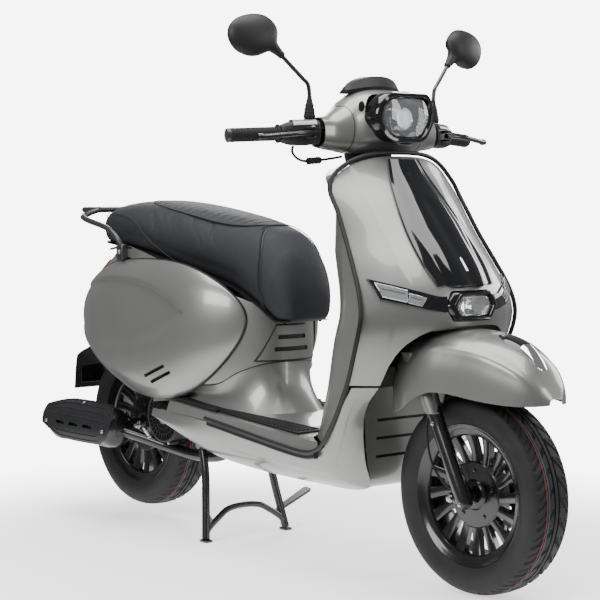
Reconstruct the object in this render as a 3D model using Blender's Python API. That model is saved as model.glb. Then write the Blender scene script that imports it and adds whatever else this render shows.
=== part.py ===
"""Moped scooter standing on its centre stand, as an assembly of separate pieces.

Metres. +X is forward, +Y is the rider's left, +Z is up, the ground is z = 0.
Stations and places below are written from the middle of the wheelbase; ROOT_SHIFT
moves the whole assembly so that the middle of its outer box is at x = 0.
"""
import math

import bmesh
import bpy
import numpy as np
from mathutils import Vector

# ---- driving dimensions ------------------------------------------------------------
WHEELBASE = 1.350
TYRE_RADIUS = 0.2364
TYRE_HALF_WIDTH = 0.060
RIM_RADIUS = 0.1530
WHEEL_STEPS = 32
REAR_LIFT = 0.0295
TAIL_END = -0.9404
CASTER = math.radians(27.0)
FORK_LEG_OFFSET = 0.030
FORK_LEG_Y = 0.093
FORK_LEG_X = WHEELBASE / 2 + 0.033
GRIP_END = (0.215, 0.395, 1.078)
GRIP_START = (0.262, 0.278, 1.083)
SHEET = 0.003
GAP = 0.0006

FRONT_AXLE = Vector((WHEELBASE / 2, 0.0, TYRE_RADIUS))
REAR_AXLE = Vector((-WHEELBASE / 2, 0.0, TYRE_RADIUS + REAR_LIFT))
ROOT_SHIFT = -(FRONT_AXLE.x + TYRE_RADIUS + TAIL_END) / 2
STEER_UP = Vector((-math.sin(CASTER), 0.0, math.cos(CASTER)))
LEG_FOOT = Vector((FORK_LEG_X, 0.0, FRONT_AXLE.z))
STEER_POINT = LEG_FOOT - Vector((math.cos(CASTER), 0.0, math.sin(CASTER))) * FORK_LEG_OFFSET

ENGINE_PIVOT = Vector((-0.240, 0.0, 0.430))
STAND_PIVOT = Vector((-0.275, 0.0, 0.255))
SEAT_HINGE = Vector((0.012, 0.0, 0.640))
SHOCK_X, SHOCK_Y = -0.690, 0.108
SHOCK_TOP_Z, SHOCK_LOW_Z = 0.600, 0.345
DOOR_HINGE_Z = 0.500

# ---- stations of the outer shapes ---------------------------------------------------
# leg shield: height, x of its edge, x of its middle, half width
SHIELD = ((1.030, 0.325, 0.392, 0.206), (0.980, 0.346, 0.423, 0.206), (0.920, 0.389, 0.472, 0.206),
          (0.840, 0.438, 0.540, 0.215), (0.760, 0.489, 0.607, 0.231), (0.700, 0.522, 0.643, 0.243),
          (0.650, 0.533, 0.648, 0.249), (0.600, 0.520, 0.632, 0.250), (0.520, 0.484, 0.605, 0.239),
          (0.440, 0.437, 0.585, 0.228), (0.330, 0.350, 0.560, 0.215))
# inner shield: height, depth behind the shield's edge
INNER_DEPTH = ((1.030, 0.125), (0.920, 0.135), (0.840, 0.150), (0.745, 0.180), (0.660, 0.198),
               (0.560, 0.198), (0.440, 0.165), (0.330, 0.120))
# rear body in side view: height, half width, x of its tail
BODY = ((0.340, 0.140, -0.560), (0.400, 0.158, -0.720), (0.450, 0.172, -0.840), (0.520, 0.185, -0.910),
        (0.580, 0.188, -0.932), (0.640, 0.184, -0.915), (0.700, 0.174, -0.850), (0.740, 0.160, -0.800),
        (0.800, 0.138, -0.730))
BODY_FRONT_X = -0.028
# seat: x, underside, top, half width
SEAT = ((0.038, 0.648, 0.712, 0.052), (0.006, 0.636, 0.792, 0.086), (-0.045, 0.652, 0.838, 0.104),
        (-0.150, 0.694, 0.869, 0.124), (-0.300, 0.742, 0.898, 0.140), (-0.450, 0.772, 0.913, 0.148),
        (-0.570, 0.788, 0.916, 0.148), (-0.680, 0.796, 0.908, 0.136), (-0.740, 0.804, 0.892, 0.112),
        (-0.776, 0.820, 0.866, 0.070))
# front fender: x, lower edge, crest, half width
FENDER = ((0.478, 0.432, 0.560, 0.100), (0.500, 0.424, 0.588, 0.116), (0.540, 0.436, 0.606, 0.129),
          (0.580, 0.462, 0.613, 0.131), (0.620, 0.479, 0.616, 0.127), (0.660, 0.481, 0.617, 0.118),
          (0.700, 0.477, 0.614, 0.110), (0.740, 0.472, 0.608, 0.104), (0.780, 0.468, 0.596, 0.097),
          (0.820, 0.465, 0.576, 0.086), (0.860, 0.464, 0.545, 0.070), (0.888, 0.465, 0.510, 0.048),
          (0.904, 0.467, 0.480, 0.020))
# headset cover: y, centre x, centre z, half depth, half height
HEADSET = ((0.000, 0.303, 1.116, 0.092, 0.080), (0.070, 0.300, 1.110, 0.080, 0.074),
           (0.110, 0.292, 1.097, 0.058, 0.057), (0.150, 0.289, 1.088, 0.040, 0.043),
           (0.184, 0.293, 1.087, 0.032, 0.037))
# side fairing below the floor, rider's right: upper edge and lower edge, front to back
FAIRING_TOP = ((0.474, 0.231, 0.484), (0.434, 0.222, 0.440), (0.388, 0.214, 0.372), (0.325, 0.207, 0.314),
               (0.200, 0.198, 0.305), (0.000, 0.190, 0.322), (-0.200, 0.182, 0.340), (-0.330, 0.172, 0.345),
               (-0.440, 0.158, 0.345))
FAIRING_LOW = ((0.512, 0.180, 0.484), (0.462, 0.170, 0.440), (0.428, 0.156, 0.385), (0.418, 0.142, 0.300),
               (0.404, 0.116, 0.226), (0.180, 0.106, 0.211), (-0.100, 0.114, 0.222), (-0.255, 0.128, 0.250),
               (-0.420, 0.150, 0.325))

# ---- colours: base colour, roughness, metallic --------------------------------------
PAINT = ("paint", (0.33, 0.33, 0.30), 0.30, 0.6)
GLOSS_BLACK = ("gloss_black", (0.012, 0.012, 0.013), 0.12, 0.0)
MATTE_BLACK = ("matte_black", (0.020, 0.020, 0.022), 0.55, 0.0)
RUBBER = ("rubber", (0.018, 0.018, 0.019), 0.80, 0.0)
BLACK_METAL = ("black_metal", (0.020, 0.020, 0.021), 0.35, 0.5)
GREY_METAL = ("grey_metal", (0.30, 0.30, 0.31), 0.40, 0.9)
STEEL = ("steel", (0.55, 0.55, 0.56), 0.25, 1.0)
VINYL = ("vinyl", (0.022, 0.022, 0.024), 0.60, 0.0)
CLEAR = ("clear", (0.80, 0.82, 0.85), 0.05, 0.0)
AMBER = ("amber", (0.75, 0.30, 0.04), 0.15, 0.0)
RED = ("red", (0.50, 0.02, 0.02), 0.15, 0.0)
GREY_PLASTIC = ("grey_plastic", (0.09, 0.09, 0.10), 0.45, 0.0)


# ---- helpers --------------------------------------------------------------------------
def clear_scene():
    for old in list(bpy.data.objects):
        bpy.data.objects.remove(old, do_unlink=True)


def finish_of(name, look):
    """A Principled material of the given colour, roughness and metallic value."""
    _, colour, roughness, metallic = look
    material = bpy.data.materials.new(name)
    material.use_nodes = True
    shader = material.node_tree.nodes["Principled BSDF"]
    shader.inputs["Base Color"].default_value = (*colour, 1.0)
    shader.inputs["Roughness"].default_value = roughness
    shader.inputs["Metallic"].default_value = metallic
    return material


def add_mesh(name, verts, faces, look, pivot=None):
    """One named object from vertices and faces, its origin on pivot."""
    origin = Vector(pivot) if pivot is not None else Vector((0.0, 0.0, 0.0))
    mesh = bpy.data.meshes.new(name)
    mesh.from_pydata([tuple(Vector(v) - origin) for v in verts], [], [tuple(f) for f in faces])
    bm = bmesh.new()
    bm.from_mesh(mesh)
    bmesh.ops.remove_doubles(bm, verts=bm.verts, dist=1e-6)
    bmesh.ops.recalc_face_normals(bm, faces=bm.faces)
    if bm.calc_volume(signed=True) < 0:
        bmesh.ops.reverse_faces(bm, faces=bm.faces)
    bm.to_mesh(mesh)
    bm.free()
    mesh.shade_smooth()
    mesh.set_sharp_from_angle(angle=math.radians(35))
    obj = bpy.data.objects.new(name, mesh)
    obj.location = origin
    obj.parent = ROOT
    bpy.context.scene.collection.objects.link(obj)
    if look:
        mesh.materials.append(finish_of(name, look))
    return obj


def helper(obj):
    """Marks an object as a cutter or a union piece, which isn't a node."""
    obj.hide_render = True
    obj.display_type = "WIRE"
    return obj


def combine(obj, others, operation="UNION"):
    """Adds an exact Boolean of each other object to obj; the others become helpers."""
    for other in others:
        helper(other)
        modifier = obj.modifiers.new(other.name, "BOOLEAN")
        modifier.operation = operation
        modifier.solver = "EXACT"
        modifier.object = other
    return obj


def smooth_table(table, at):
    """Reads every column of a station table at a first-column value, on a smooth curve."""
    rows = np.array(sorted(table), dtype=float)
    key = rows[:, 0]
    at = min(max(at, key[0]), key[-1])
    i = min(max(int(np.searchsorted(key, at)) - 1, 0), len(key) - 2)
    h = key[i + 1] - key[i]
    t = (at - key[i]) / h
    before = rows[i - 1] if i > 0 else 2 * rows[i] - rows[i + 1]
    after = rows[i + 2] if i + 2 < len(rows) else 2 * rows[i + 1] - rows[i]
    m0 = (rows[i + 1] - before) / (key[i + 1] - before[0]) * h
    m1 = (after - rows[i]) / (after[0] - key[i]) * h
    out = ((2 * t**3 - 3 * t**2 + 1) * rows[i] + (t**3 - 2 * t**2 + t) * m0
           + (-2 * t**3 + 3 * t**2) * rows[i + 1] + (t**3 - t**2) * m1)
    return out[1:]


def smooth_path(points, count):
    """Points at even chord steps on a smooth curve through the given points."""
    pts = np.array(points, dtype=float)
    chord = np.r_[0.0, np.cumsum(np.linalg.norm(np.diff(pts, axis=0), axis=1))]
    table = [(c, *p) for c, p in zip(chord, pts)]
    return [Vector(smooth_table(table, c)) for c in np.linspace(0.0, chord[-1], count)]


def frames_along(points):
    """Unit tangent and two side vectors at each point, turned as little as possible."""
    tangents = []
    for i in range(len(points)):
        ahead = points[min(i + 1, len(points) - 1)]
        behind = points[max(i - 1, 0)]
        tangents.append((ahead - behind).normalized())
    side = tangents[0].orthogonal().normalized()
    out = []
    for tangent in tangents:
        side = (side - tangent * side.dot(tangent)).normalized()
        out.append((tangent, side, tangent.cross(side)))
    return out


def loft(name, rings, look, pivot=None, closed=False):
    """Solid through rings of equal length; ends are capped unless the rings close up."""
    count = len(rings[0])
    verts = [p for ring in rings for p in ring]
    faces = []
    last = len(rings) if closed else len(rings) - 1
    for i in range(last):
        a = i * count
        b = ((i + 1) % len(rings)) * count
        for j in range(count):
            k = (j + 1) % count
            faces.append((a + j, a + k, b + k, b + j))
    if not closed:
        faces.append(tuple(range(count)))
        faces.append(tuple(range(len(verts) - count, len(verts))))
    return add_mesh(name, verts, faces, look, pivot)


def tube(name, points, radius, look, sides=8, pivot=None, squash=1.0):
    """Round bar along points; radius is a number or one number per point."""
    points = [Vector(p) for p in points]
    radii = radius if hasattr(radius, "__len__") else [radius] * len(points)
    rings = []
    for (_, side, up), point, r in zip(frames_along(points), points, radii):
        rings.append([point + side * math.cos(a) * r + up * math.sin(a) * r * squash
                      for a in np.linspace(0, 2 * math.pi, sides, endpoint=False)])
    return loft(name, rings, look, pivot)


def turned(name, profile, centre, axis, look, steps=24, pivot=None, start=0.0):
    """Closed profile of (distance along axis, radius) points, turned about the axis."""
    axis = Vector(axis).normalized()
    centre = Vector(centre)
    side = Vector((0, 0, 1)) if abs(axis.z) < 0.9 else Vector((1, 0, 0))
    side = (side - axis * side.dot(axis)).normalized()
    up = axis.cross(side)
    rings = []
    for i in range(steps):
        a = start + 2 * math.pi * i / steps
        out = side * math.cos(a) + up * math.sin(a)
        rings.append([centre + axis * along + out * radius for along, radius in profile])
    return loft(name, rings, look, pivot, closed=True)


def rod(name, start, end, radius, look, sides=16, pivot=None, bore=0.0):
    """Straight round bar, or a sleeve when it has a bore."""
    start, end = Vector(start), Vector(end)
    length = (end - start).length
    if bore:
        profile = ((0, bore), (length, bore), (length, radius), (0, radius))
        return turned(name, profile, start, end - start, look, sides, pivot)
    return tube(name, (start, end), radius, look, sides, pivot)


def box(name, low, high, look, pivot=None):
    rings = []
    for z in (low[2], high[2]):
        rings.append([Vector((low[0], low[1], z)), Vector((high[0], low[1], z)),
                      Vector((high[0], high[1], z)), Vector((low[0], high[1], z))])
    return loft(name, rings, look, pivot)


def normals_of(grid, wrap=False):
    rows, cols = len(grid), len(grid[0])
    out = []
    for i in range(rows):
        line = []
        for j in range(cols):
            down = grid[min(i + 1, rows - 1)][j] - grid[max(i - 1, 0)][j]
            if wrap:
                across = grid[i][(j + 1) % cols] - grid[i][(j - 1) % cols]
            else:
                across = grid[i][min(j + 1, cols - 1)] - grid[i][max(j - 1, 0)]
            line.append(across.cross(down).normalized())
        out.append(line)
    return out


def shell(name, grid, look, inward=SHEET, outward=0.0, pivot=None, flip=False, wrap=False):
    """Closed thick sheet over a grid of points: inward and outward of its surface."""
    rows, cols = len(grid), len(grid[0])
    sign = -1.0 if flip else 1.0
    facing = normals_of(grid, wrap)
    outer = [grid[i][j] + facing[i][j] * outward * sign for i in range(rows) for j in range(cols)]
    inner = [grid[i][j] - facing[i][j] * inward * sign for i in range(rows) for j in range(cols)]
    count = rows * cols
    last = cols if wrap else cols - 1
    faces = []
    for i in range(rows - 1):
        for j in range(last):
            a, b = i * cols + j, i * cols + (j + 1) % cols
            c, d = (i + 1) * cols + (j + 1) % cols, (i + 1) * cols + j
            faces += [(a, b, c, d), (a + count, d + count, c + count, b + count)]
    for i in (0, rows - 1):
        for j in range(last):
            a, b = i * cols + j, i * cols + (j + 1) % cols
            faces.append((a, b, b + count, a + count))
    if not wrap:
        for j in (0, cols - 1):
            for i in range(rows - 1):
                a, b = i * cols + j, (i + 1) * cols + j
                faces.append((a, b, b + count, a + count))
    return add_mesh(name, outer + inner, faces, look, pivot)


def mirrored(points, side):
    """The same points on the rider's right (-1) or left (+1)."""
    return [Vector((p[0], side * abs(p[1]), p[2])) for p in points]


def steer_at(z):
    """Point of the steering axis at a height."""
    return STEER_POINT + STEER_UP * ((z - STEER_POINT.z) / STEER_UP.z)


def leg_at(along, y):
    """Point of a fork leg's centre line, measured up from the axle's height."""
    point = LEG_FOOT + STEER_UP * along
    return Vector((point.x, y, point.z))


SIDES = (("right", -1), ("left", 1))


# ---- wheels ------------------------------------------------------------------------------
def tyre(name, axle):
    w = TYRE_HALF_WIDTH
    bead = RIM_RADIUS + 0.001
    outer = ((-0.036, bead), (-0.0445, 0.170), (-w, 0.203), (-0.052, 0.224), (-0.028, 0.2345),
             (0.0, TYRE_RADIUS), (0.028, 0.2345), (0.052, 0.224), (w, 0.203), (0.0445, 0.170), (0.036, bead))
    inner = ((0.029, bead), (0.048, 0.194), (0.038, 0.218), (-0.038, 0.218), (-0.048, 0.194), (-0.029, bead))
    turned(name, outer + inner, axle, (0, 1, 0), RUBBER, WHEEL_STEPS, axle)


def rim(name, axle):
    """Cast rim: barrel with two flanges, dished web and a bored hub."""
    r = RIM_RADIUS
    profile = ((-0.030, 0.0095), (0.040, 0.0095), (0.040, 0.032), (0.008, 0.042), (0.004, 0.136),
               (0.041, 0.142), (0.050, 0.167), (0.046, 0.168), (0.037, r), (-0.037, r), (-0.046, 0.168),
               (-0.050, 0.167), (-0.041, 0.140), (-0.024, 0.136), (-0.024, 0.050))
    turned(name, profile, axle, (0, 1, 0), BLACK_METAL, WHEEL_STEPS, axle)


def build_wheels():
    for name, axle in (("front", FRONT_AXLE), ("rear", REAR_AXLE)):
        tyre(name + "_tyre", axle)
        rim(name + "_rim", axle)
    disc = ((0.0425, 0.034), (0.0465, 0.034), (0.0465, 0.095), (0.0425, 0.095))
    turned("brake_disc", disc, FRONT_AXLE, (0, 1, 0), STEEL, WHEEL_STEPS, FRONT_AXLE)


# ---- fork, fender and steering head -----------------------------------------------------
def build_fork():
    """Sliders with the axle trailing behind them, brake caliper, speedometer drive and yoke."""
    sliders = None
    parts = []
    for label, side in SIDES:
        y = side * FORK_LEG_Y
        leg = rod("slider_" + label, leg_at(-0.018, y), leg_at(0.245, y), 0.0195, BLACK_METAL, 16)
        bore = helper(rod("slider_bore_" + label, leg_at(0.020, y), leg_at(0.300, y), 0.0155, None, 16))
        combine(leg, [bore], "DIFFERENCE")
        lug = box("axle_lug_" + label, (-0.014, y - 0.010, -0.013), (0.032, y + 0.010, 0.013), None)
        lug.location = FRONT_AXLE
        if sliders is None:
            sliders = leg
        else:
            parts.append(leg)
        parts.append(lug)
    y = FORK_LEG_Y + 0.012
    parts.append(rod("axle_bar", FRONT_AXLE + Vector((0, -y, 0)), FRONT_AXLE + Vector((0, y, 0)),
                     0.0085, None, 14))
    sliders.name = "fork_sliders"
    combine(sliders, parts)

    caliper = ((0.052, 0.036), (0.052, 0.120), (0.068, 0.120), (0.068, 0.036))
    rings = []
    for angle in (150, 165, 180, 195):
        a = math.radians(angle)
        out = Vector((math.cos(a), 0, math.sin(a)))
        rings.append([FRONT_AXLE + out * r + Vector((0, along, 0)) for along, r in caliper])
    loft("brake_caliper", rings, GREY_METAL, FRONT_AXLE)

    yoke = tube("fork_yoke", (leg_at(0.345, -0.106), leg_at(0.345, 0.106)), 0.0135, BLACK_METAL, 12)
    joined = [rod("stanchion_" + label, leg_at(0.100, side * FORK_LEG_Y), leg_at(0.349, side * FORK_LEG_Y),
                  0.0146, None, 16) for label, side in SIDES]
    joined.append(tube("yoke_web", (leg_at(0.343, 0.0), steer_at(0.542)), 0.0125, None, 12))
    joined.append(rod("stem", steer_at(0.532), steer_at(1.058), 0.0160, None, 16))
    combine(yoke, joined)


def build_fender():
    """Fender of the front wheel; its crown is open where the steering stem passes."""
    rings = []
    for x, low, crest, half in FENDER:
        ring = []
        for t in np.linspace(math.pi, 0.0, 13):
            c, s = math.cos(t), max(math.sin(t), 0.0)
            ring.append(Vector((x, -half * math.copysign(abs(c) ** 0.62, c), low + (crest - low) * s ** 0.62)))
        rings.append(ring)
    fender = shell("front_fender", rings, PAINT, inward=SHEET, pivot=STEER_POINT)
    cut = helper(rod("fender_stem_hole", steer_at(0.540), steer_at(0.760), 0.040, None, 16))
    combine(fender, [cut], "DIFFERENCE")


def ring_xz(y, cx, cz, a, b, count=16, power=0.85):
    """Superellipse across the handlebar direction."""
    points = []
    for t in np.linspace(0, 2 * math.pi, count, endpoint=False):
        c, s = math.cos(t), math.sin(t)
        points.append(Vector((cx + a * math.copysign(abs(c) ** power, c), y,
                              cz + b * math.copysign(abs(s) ** power, s))))
    return points


def lamp_outline(x, scale):
    """Outline of the headlamp, leaning back a little."""
    outline = ((-0.070, 1.184), (0.070, 1.184), (0.093, 1.156), (0.102, 1.118), (0.072, 1.074),
               (0.048, 1.062), (-0.048, 1.062), (-0.072, 1.074), (-0.102, 1.118), (-0.093, 1.156))
    return [Vector((x + (z - 1.124) * 0.05, y * scale, 1.124 + (z - 1.124) * scale)) for y, z in outline]


def build_headset():
    """Headset cover, neck, headlamp, instrument visor."""
    ys = (-0.184, -0.165, -0.135, -0.105, -0.075, -0.040, 0.0, 0.040, 0.075, 0.105, 0.135, 0.165, 0.184)
    grid = [ring_xz(y, *smooth_table(HEADSET, abs(y))) for y in ys]
    cover = shell("headset_cover", grid, PAINT, inward=SHEET, wrap=True, pivot=STEER_POINT, flip=True)
    hollow = helper(loft("headlamp_hole", [lamp_outline(x, 0.90) for x in (0.330, 0.460)], None))
    foot = helper(rod("neck_hole", steer_at(0.990), steer_at(1.075), 0.046, None, 20))
    combine(cover, [hollow, foot], "DIFFERENCE")

    neck = ((0.0, 0.0580), (0.062, 0.0500), (0.062, 0.0560), (0.000, 0.0640))
    combine(cover, [turned("neck", neck, steer_at(0.984), STEER_UP, None, 24)])

    stations = ((0.412, 0.86), (0.424, 1.0), (0.407, 1.0), (0.400, 0.86), (0.400, 0.70), (0.414, 0.72))
    loft("headlight_bezel", [lamp_outline(x, k) for x, k in stations], GLOSS_BLACK, STEER_POINT, closed=True)
    stations = ((0.401, 0.66), (0.410, 0.66), (0.414, 0.50), (0.416, 0.25))
    loft("headlight_lens", [lamp_outline(x, k) for x, k in stations], CLEAR, STEER_POINT)

    rings = []
    for i, y in enumerate((-0.086, -0.066, -0.036, 0.0, 0.036, 0.066, 0.086)):
        lift = math.cos(i * math.pi / 6 - math.pi / 2) ** 0.6 if 0 < i < 6 else 0.0
        base = 1.2005 - 1.6 * y * y
        rings.append([Vector((0.236 + 0.02 * (1 - lift), y, base)), Vector((0.318 - 0.02 * (1 - lift), y, base)),
                      Vector((0.312 - 0.02 * (1 - lift), y, base + 0.006 + 0.024 * lift)),
                      Vector((0.262, y, base + 0.006 + 0.024 * lift))])
    loft("instrument_panel", rings, MATTE_BLACK, STEER_POINT)


# ---- handlebar and controls ------------------------------------------------------------
def bar_line(side):
    """Start and end of one grip, on the handlebar's centre line."""
    start = Vector((GRIP_START[0], side * GRIP_START[1], GRIP_START[2]))
    end = Vector((GRIP_END[0], side * GRIP_END[1], GRIP_END[2]))
    return start, (end - start).normalized(), end


def build_handlebar():
    right, along, end = bar_line(-1)
    left, along_left, end_left = bar_line(1)
    middle = [right - along * 0.100, (0.268, -0.09, 1.080), (0.258, -0.035, 1.077)]
    points = [end - along * 0.003, right, *middle, (0.258, 0.0, 1.077)]
    points += [(p[0], -p[1], p[2]) for p in reversed(middle)] + [left, end_left - along_left * 0.003]
    bar = tube("handlebar", points, 0.0110, BLACK_METAL, 12)
    stem_clamp = tube("stem_clamp", (steer_at(1.0600), steer_at(1.0660), (0.2550, 0, 1.0830)), 0.0160, None, 14)
    combine(bar, [stem_clamp])

    for label, side in SIDES:
        start, along, end = bar_line(side)
        length = (end - start).length
        profile = ((0.0, 0.0118), (length - 0.004, 0.0118), (length - 0.004, 0.0165), (0.012, 0.0165),
                   (0.008, 0.0225), (0.0, 0.0225))
        name = "throttle_grip" if side < 0 else "left_grip"
        turned(name, profile, start, along, RUBBER, 20, start)
        build_control(label, side)


def build_control(label, side):
    """Control housing on the bar with the brake lever's perch, its lever and its button."""
    start, along, _ = bar_line(side)
    inner, outer = start - along * 0.084, start - along * 0.0015
    across = Vector((side * along.y, -side * along.x, 0)).normalized()
    up = Vector((0, 0, 1))
    stations = ((0.0, 0.024, 0.029), (0.35, 0.026, 0.031), (0.75, 0.025, 0.029), (1.0, 0.020, 0.022))
    rings = []
    for t, half, high in stations:
        rings.append([inner.lerp(outer, t) + across * half * math.copysign(abs(math.cos(a)) ** 0.7, math.cos(a))
                      + up * high * math.copysign(abs(math.sin(a)) ** 0.7, math.sin(a))
                      for a in np.linspace(0, 2 * math.pi, 14, endpoint=False)])
    for t, _, _ in reversed(stations):
        rings.append([inner.lerp(outer, t) + across * math.cos(a) * 0.0124 + up * math.sin(a) * 0.0124
                      for a in np.linspace(0, 2 * math.pi, 14, endpoint=False)])
    housing = loft(label + "_control_housing", rings, MATTE_BLACK, STEER_POINT, closed=True)
    pivot = lever_pivot(side)
    lobes = []
    for height in (-0.0135, 0.0085):
        lobes.append(box("perch_lobe", (pivot.x - 0.0275, pivot.y - 0.009, pivot.z + height),
                         (pivot.x + 0.009, pivot.y + 0.009, pivot.z + height + 0.005), None))
    combine(housing, lobes)

    reach = [pivot + Vector(p) for p in ((0, 0, 0), (0.006, side * 0.035, -0.002), (-0.002, side * 0.085, -0.007),
                                         (-0.016, side * 0.135, -0.012), (-0.024, side * 0.152, -0.013))]
    path = smooth_path(reach, 9)
    tube("brake_lever_" + label, path, [0.0075, 0.0075, 0.007, 0.0062, 0.0058, 0.0055, 0.006, 0.009, 0.006],
         BLACK_METAL, 8, pivot, squash=0.62)

    middle = start - along * 0.030 + Vector((0, 0, 0.004))
    well = helper(rod("button_well", middle - across * 0.040, middle - across * 0.0185, 0.0072, None, 12))
    combine(housing, [well], "DIFFERENCE")
    name = "starter_button" if side < 0 else "horn_button"
    rod(name, middle - across * 0.0315, middle - across * 0.0225, 0.0062, RED if side < 0 else AMBER, 12,
        middle - across * 0.0225)


def lever_pivot(side):
    return Vector((0.329, side * 0.226, 1.085))


def mirror_base(side):
    return Vector((0.291, side * 0.207, 1.118))


def mirror_knuckle(side):
    return Vector((0.268, side * 0.284, 1.276))


def build_mirrors():
    for label, side in SIDES:
        base = mirror_base(side)
        top = mirror_knuckle(side)
        points = [base, base + Vector((0, 0, 0.012)), base + Vector((0, 0, 0.030)), base + Vector((0, 0, 0.058))]
        points += [Vector((0.290, side * 0.211, 1.196)), Vector((0.283, side * 0.228, 1.217)), top]
        tube("mirror_stem_" + label, points, [0.0135, 0.0145, 0.0115, 0.0052, 0.0052, 0.0052, 0.0052],
             BLACK_METAL, 10, base)
        rings = []
        direction = Vector((-0.018, side * 0.070, 0.062)).normalized()
        across = Vector((0.0, -side * direction.z, side * direction.y)).normalized()
        across = (across - direction * across.dot(direction)).normalized()
        depth = direction.cross(across)
        for s, wide, deep in ((0.002, 0.011, 0.010), (0.018, 0.014, 0.013), (0.030, 0.034, 0.020),
                              (0.052, 0.050, 0.026), (0.085, 0.057, 0.028), (0.118, 0.049, 0.024),
                              (0.140, 0.028, 0.016), (0.148, 0.008, 0.006)):
            centre = top + direction * s
            rings.append([centre + across * math.cos(a) * wide + depth * math.sin(a) * deep
                          for a in np.linspace(0, 2 * math.pi, 12, endpoint=False)])
        loft("mirror_" + label, rings, MATTE_BLACK, top)


def build_throttle_cable():
    """Held cable from the throttle housing to the neck, with its bellows boot."""
    route = ((0.276, -0.246, 1.0535), (0.278, -0.250, 1.040), (0.284, -0.243, 1.026), (0.290, -0.226, 1.018),
             (0.292, -0.180, 1.020), (0.284, -0.130, 1.025), (0.272, -0.088, 1.030))
    path = smooth_path(route, 26)
    radii = [0.0032 + (0.0048 if 9 <= i <= 14 else 0.0) for i in range(len(path))]
    tube("throttle_cable", path, radii, RUBBER, 8)


# ---- leg shield and what it carries ----------------------------------------------------
def shield_point(s, z, proud=0.0):
    """Point of the leg shield's face at fraction s of its half width."""
    edge, middle, half = smooth_table(SHIELD, z)
    return Vector((edge + (middle - edge) * (1 - s * s) + proud, s * half, z))


def shield_top(s):
    return 0.940 + 0.090 * (1 - abs(s) ** 3) ** (2 / 3)


def shield_foot(s):
    """Lower end of the face: the arch over the fender, then the seam to the side fairing."""
    y = abs(s) * 0.240
    return 0.490 + 0.140 * math.sqrt(max(1 - (y / 0.184) ** 3.8, 0.0))


def inner_point(s, z, behind=0.0):
    """Point of the inner shield, which faces the rider."""
    edge, _, half = smooth_table(SHIELD, z)
    depth = smooth_table(INNER_DEPTH, z)[0]
    half -= 0.005 + 0.008 * min(max((0.430 - z) / 0.060, 0.0), 1.0)
    return Vector((edge - 0.006 - depth * (1 - abs(s) ** 5) - behind, s * half, z))


def grid_of(function, across, down):
    return [[function(a, d) for a in across] for d in down]


def hexagon(x, half_y, half_z, centre_z, nose=0.72):
    """Flat-topped six-sided outline across X."""
    return [Vector((x, y * half_y, centre_z + z * half_z))
            for y, z in ((-nose, 1), (nose, 1), (1, 0), (nose, -1), (-nose, -1), (-1, 0))]


def build_leg_shield():
    def face(s, t):
        top, foot = shield_top(s), shield_foot(s)
        return shield_point(s, top + (foot - top) * t)

    across = [-1, -0.96, -0.88, -0.78, -0.72, -0.62, -0.5, -0.36, -0.18, 0]
    across += [-a for a in reversed(across[:-1])]
    shield = shell("leg_shield", grid_of(face, across, np.linspace(0, 1, 10)), PAINT, flip=True)
    pocket = helper(loft("lamp_pocket", [hexagon(0.560, 0.086, 0.037, 0.677), hexagon(0.700, 0.086, 0.037, 0.677)],
                         None))
    combine(shield, [pocket], "DIFFERENCE")

    def tie(a, t):
        z = 1.018 - t * 0.296
        half = smooth_table(SHIELD, z)[2]
        width = 0.049 + 0.050 * math.sin(min(t * 1.25, 1.0) * math.pi / 2)
        return shield_point(a * width / half, z)

    shell("tie_panel", grid_of(tie, np.linspace(-1, 1, 9), np.linspace(0, 1, 10)), GLOSS_BLACK,
          inward=-0.0024, outward=0.0095, flip=True)

    rings = [hexagon(x, 0.083 * k, 0.034 * k, 0.677) for x, k in ((0.606, 1.0), (0.644, 1.0), (0.653, 0.88))]
    rings += [hexagon(x, 0.083 * k, 0.034 * k, 0.677) for x, k in ((0.653, 0.72), (0.640, 0.70), (0.606, 0.70))]
    loft("nose_lamp_bezel", rings, GLOSS_BLACK, closed=True)
    loft("nose_lamp_lens", [hexagon(x, 0.083 * k, 0.034 * k, 0.677)
                            for x, k in ((0.612, 0.68), (0.648, 0.68), (0.656, 0.55))], CLEAR)
    for label, side in SIDES:
        corners = ((0.098, 0.701), (0.222, 0.742), (0.213, 0.694), (0.128, 0.671))

        def lamp(a, t, side=side, corners=corners):
            top = Vector(corners[0]).lerp(Vector(corners[1]), a)
            low = Vector(corners[3]).lerp(Vector(corners[2]), a)
            y, z = top.lerp(low, t)
            return shield_point(side * y / smooth_table(SHIELD, z)[2], z)

        shell("front_signal_" + label, grid_of(lamp, np.linspace(0, 1, 7), np.linspace(0, 1, 4)), CLEAR,
              inward=-GAP, outward=0.006, flip=side > 0)


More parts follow.
